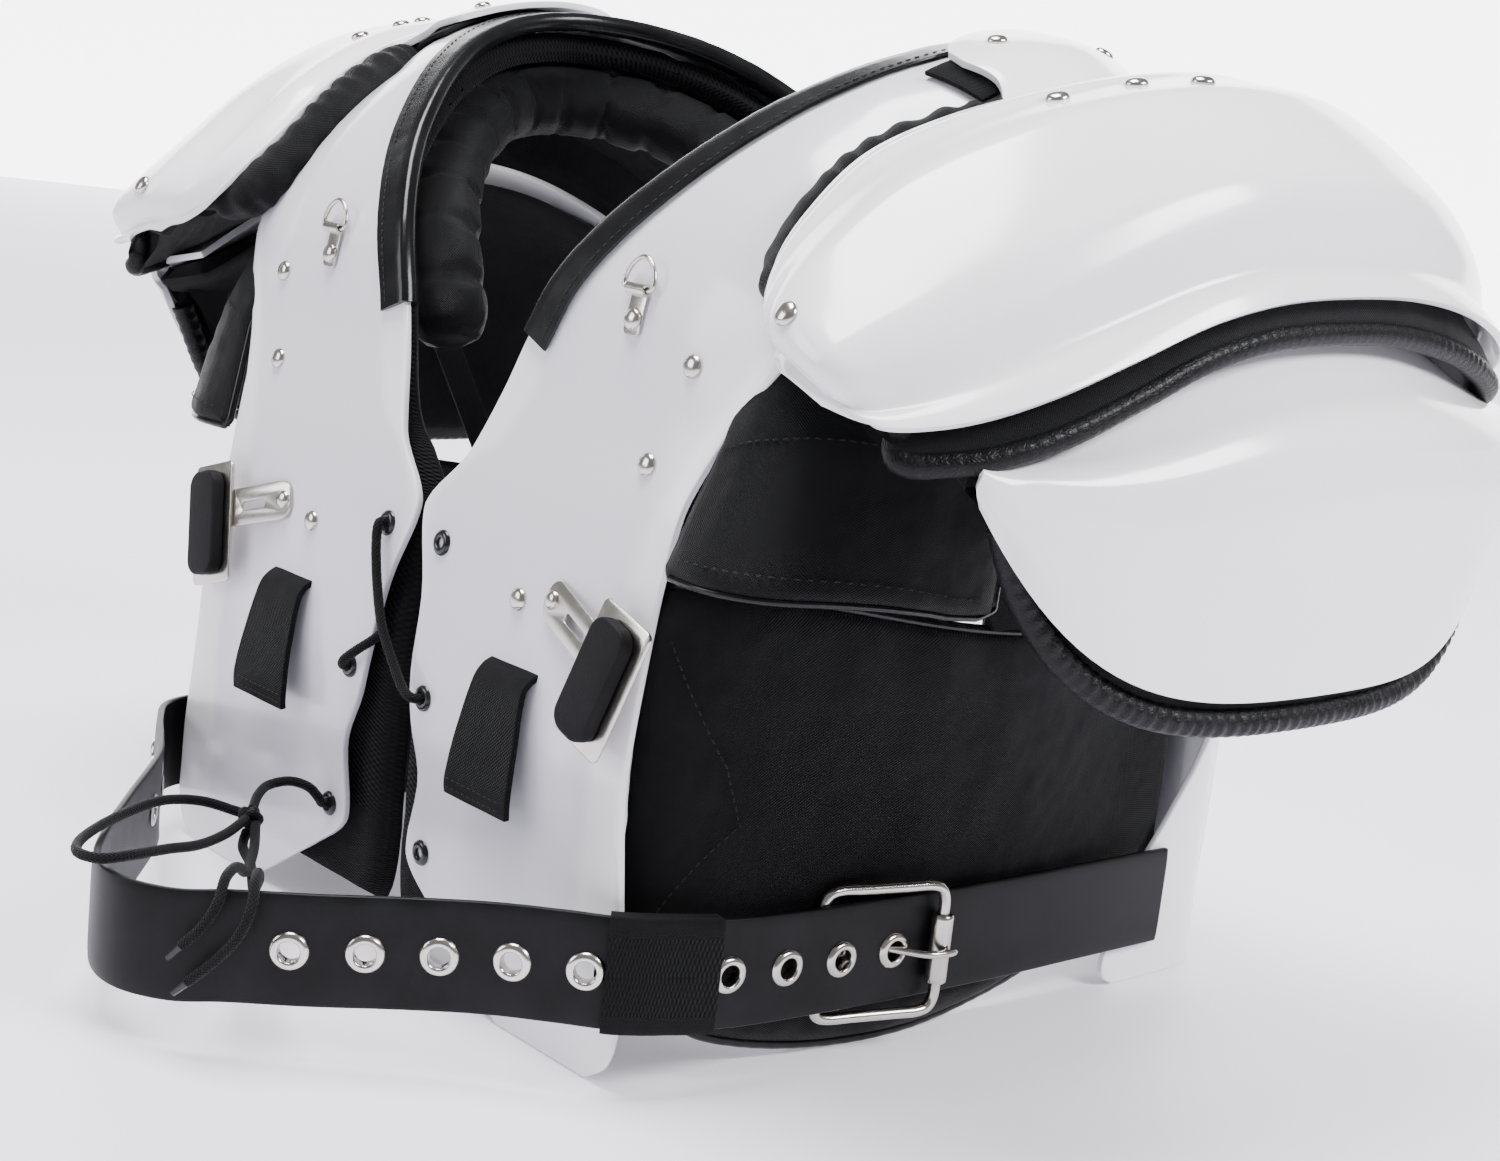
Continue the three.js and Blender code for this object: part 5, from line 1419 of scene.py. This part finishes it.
def tabSurface(u, v):
    t = 1 - v
    read = lambda name, scale: column(tabRows, tabRowsColumns, t, name, scale)
    slack = 0.5 * wrinkle(Vector((u * 30, v * 50, 0)), 0.09, 6)
    wide, long = tabSize["width"], tabSize["length"]
    return (slotPlace + Vector((lerp(read("left", wide), read("right", wide), u), 0, 0))
            - slotUp * read("down", long) + slotOut * (read("out", long) + slack))


sheetPair("webTab", tabSurface, 24, 40, tabSize["wall"], 0.8, 3, strapWeave, "web_tab")
tabSeams = [place for v in (0.1, 0.17) for place in seamOn(tabSurface, [(0.06, v), (0.94, v)], 0.1, 3.0)]
pairUp(stitchLine("tabStitches", tabSeams), "tabStitches", stitchThread)

# Ring clips and the rings hinged in them
ringPoint = Vector((104.775, -124.246, 286.508))
ringAlong, ringSide, ringOut = Vector((0, 0.17934, 0.98379)), Vector((1, 0, 0)), Vector((0, -0.98379, 0.17934))
leaf = roundedPlate("leaf", 9, 17, 1, 2.2, 0.25)
leaf.data.transform(frameMatrix(ringPoint - ringAlong * 8.5 - ringOut * 1.8, ringSide, ringAlong, ringOut))
eye = turned("eye", [(1.35, -5.4), (2.3, -5.4), (2.3, 5.4), (1.35, 5.4)], 28)
eye.data.transform(frameMatrix(ringPoint, ringAlong, ringOut * -1, ringSide))
outward(eye)
pairUp(joined([leaf, eye], "ringClip"), "ringClip", nickelPlate, "ring_clip", angle=35)
ringOutline = [(0, 0), (0.2, 0), (0.36, 0), (0.46, 0.05), (0.5, 0.2), (0.47, 0.42), (0.38, 0.68), (0.24, 0.88),
               (0.1, 0.985), (0, 1)]
ringOutline += [(-a, b) for a, b in ringOutline[-2:0:-1]]
ringPoints = [ringPoint + ringSide * a * 17 + ringAlong * b * 12 for a, b in ringOutline]
dRing = swept("dRing", evenRing(ringPoints, 0.7), 1.0, 16, closed=True)
pairUp(dRing, "dRing", nickelPlate, "d_ring", 60, body="ring")

# Straps over the arm openings and across the back
webStrap = {"wall": 2, "armWidth": 16, "linkWidth": 32, "linkPast": 34, "seamIn": 3.5, "seamPitch": 3.2}
strapTop = archPoint(0.98 * archSize["chestHalf"], station(0.85), 27.8)
strapFoot = sideSurface(0.62, 1) + Vector((-3.25, 0, 1.5))


def armStrapSurface(u, v):
    return strapFoot.lerp(strapTop, v) + Vector((1.0, (u - 0.5) * webStrap["armWidth"], 0.0))


sheetPair("armStrap", armStrapSurface, 10, 90, webStrap["wall"], 0.6, 2, strapWeave, "arm_strap")
for name, node, share, play in (("backLinkUpper", "back_link_upper", 0.5, 0),
                                ("backLinkLower", "back_link_lower", 0.16, 0.6)):
    v, half, across = station(share, True), webStrap["linkWidth"] / 2, Vector((1, 0, 0))
    point, normal, along = archFrame(0, v)[:3]
    reach = archEdge(v, "inner") + webStrap["linkPast"]
    leanY = archFrame(0, station(share + half / archSize["height"], True))[0].y
    middle = point + normal * (play + 1.9 + max(0, point.y - leanY) * 0.1)
    link = shapedGrid(name, lambda a, b: middle - across * (a - 0.5) * reach * 2 - along * (b - 0.5) * 2 * half,
                      60, 10)
    outward(link)
    shell(link, webStrap["wall"], 0.6, 2)
    finishPiece(link, name, strapWeave, nodes=[node])
    rows, pitch = [], webStrap["seamPitch"]
    for edge in (webStrap["seamIn"] - half, half - webStrap["seamIn"]):
        rows += [(middle + across * (4 - reach + i * pitch) + along * edge, normal, across)
                 for i in range(int((reach * 2 - 8) / pitch))]
    finishPiece(stitchLine(name + "Stitches", rows), name + "Stitches", stitchThread)
print("hooks, tabs, rings and straps made")

# Rivets: a domed head with a rolled lip; studs: black glossy eyes for the laces
rivetOutline = [(0.01, 2.5), (1.6, 2.42), (3.0, 2.1), (3.9, 1.55), (4.35, 0.9), (4.5, 0.35), (4.4, 0.0),
                (0.01, 0.0)]
eyeOutline = [(2.0, 0.9), (2.2, 1.35), (2.9, 1.65), (4.1, 1.5), (5.0, 0.95), (5.3, 0.3), (5.2, 0.0), (2.4, 0.0),
              (2.0, 0.3)]


def archHit(x, y, z):
    # the nearest place on the plate to a given point
    best, found = 1e9, None
    for i in range(20, 160):
        v = i / 200
        for j in range(13):
            across = lerp(archEdge(v, "inner"), archEdge(v, "outer"), j / 12)
            miss = (archPoint(across, v) - Vector((x, y, z))).length
            if miss < best:
                best, found = miss, (across, v)
    across, v = found
    for reach, turn in ((4, 0.003), (1.5, 0.001), (0.5, 0.0004)):
        for a in range(-4, 5):
            for b in range(-4, 5):
                here = (across + a * reach / 2, clamp(v + b * turn))
                miss = (archPoint(*here) - Vector((x, y, z))).length
                if miss < best:
                    best, found = miss, here
        across, v = found
    return archFrame(*found)[:2]


def capHit(x, y, z):
    best, found = 1e9, None
    for i in range(2, 60):
        for j in range(2, 120):
            u, v = i / 61, j / 121
            miss = (capSurface(u, v) - Vector((x, y, z))).length
            if miss < best:
                best, found = miss, (u, v)
    return onSurface(capPressed, *found)


def onSurface(surface, u, v):
    return surface(u, v), normalOf(surface, u, v)


headPlaces = {
    "plateRivets": [archHit(141, -124, 263), archHit(129.5, -132, 226), archHit(75, -143, 164)],
    "capRivets": [capHit(223, -43, 370), capHit(232, -15.5, 379), capHit(245, 5, 383),
                  onSurface(capPressed, 0.4, 0.1)],
    "bridgeRivets": [onSurface(bridgeSurface, 0.12, 0.2), onSurface(bridgeSurface, 0.12, 0.8)],
    "bracketRivet": [(hookStart + lean * 0.5 + bracketFace * 2.0, bracketFace)],
    "clipRivet": [(ringPoint - ringAlong * 11 - ringOut * 1.3, ringOut)],
    "laceEyes": [archHit(19.8, -141.57, 174.33), archHit(27.2, -149.86, 113.1), archHit(34.65, -150, 51.09)],
}
headScale = {"bridgeRivets": 0.9, "bracketRivet": 0.85, "clipRivet": 0.95}
for name, places in headPlaces.items():
    outline, finish = (eyeOutline, eyeletBlack) if name == "laceEyes" else (rivetOutline, rivetMetal)
    pairUp(headsAt(name, outline, places, headScale.get(name, 1.0)), name, finish)
print("rivets and lace eyes made")


# Studio: a pale floor, a white surround and soft lights


def glowing(name, colour, roughness, glow, strength):
    material, nodes, links, shader = newMaterial(name, "shell", colour, roughness)
    setInputs(shader, Emission_Color=(*glow, 1), Emission_Strength=strength)
    return material


def stagePlane(name, material, size, place, turn, scale):
    deselectAll()
    bpy.ops.mesh.primitive_plane_add(size=size, location=place, rotation=turn)
    plane = bpy.context.object
    plane.name = name
    plane.scale = scale
    plane.data.materials.append(material)


paleFloor = glowing("studioFloor", (0.8, 0.78, 0.86), 0.5, (0.93, 0.91, 1.0), 0.3)
stagePlane("floor", paleFloor, 14, (-2, 3, -0.0004), (0, 0, 0), (1, 1, 1))
whiteWall = glowing("studioBackdrop", (0.9, 0.9, 0.92), 0.8, (1.0, 1.0, 1.0), 5.0)
stagePlane("backdrop", whiteWall, 1, (-3.6, 3.3, 1.2), (math.radians(90), 0, math.radians(47)), (11, 4, 1))
world = bpy.data.worlds.new("studioWorld")
bpy.context.scene.world = world
world.use_nodes = True
background = world.node_tree.nodes["Background"]
background.inputs["Color"].default_value = (1.0, 1.0, 1.0, 1)
background.inputs["Strength"].default_value = 0.28


def softLight(name, place, target, size, power, colour=(1, 1, 1)):
    deselectAll()
    bpy.ops.object.light_add(type="AREA", location=place)
    light = bpy.context.object
    light.name = name
    light.data.shape = "RECTANGLE"
    light.data.size, light.data.size_y = size
    light.data.energy = power
    light.data.color = colour
    light.rotation_euler = (Vector(target) - Vector(place)).to_track_quat("-Z", "Y").to_euler()
    return light


softLight("keyRight", (1.9, 0.7, 1.7), (0.05, 0, 0.25), (1.1, 0.7), 92)
softLight("overhead", (-0.2, -0.3, 2.2), (0, 0, 0.2), (1.2, 0.9), 96)
softLight("frontLeft", (-1.3, -2.2, 1.1), (0, 0, 0.2), (1.2, 1.2), 30, (0.97, 0.98, 1.0))
print("studio made")
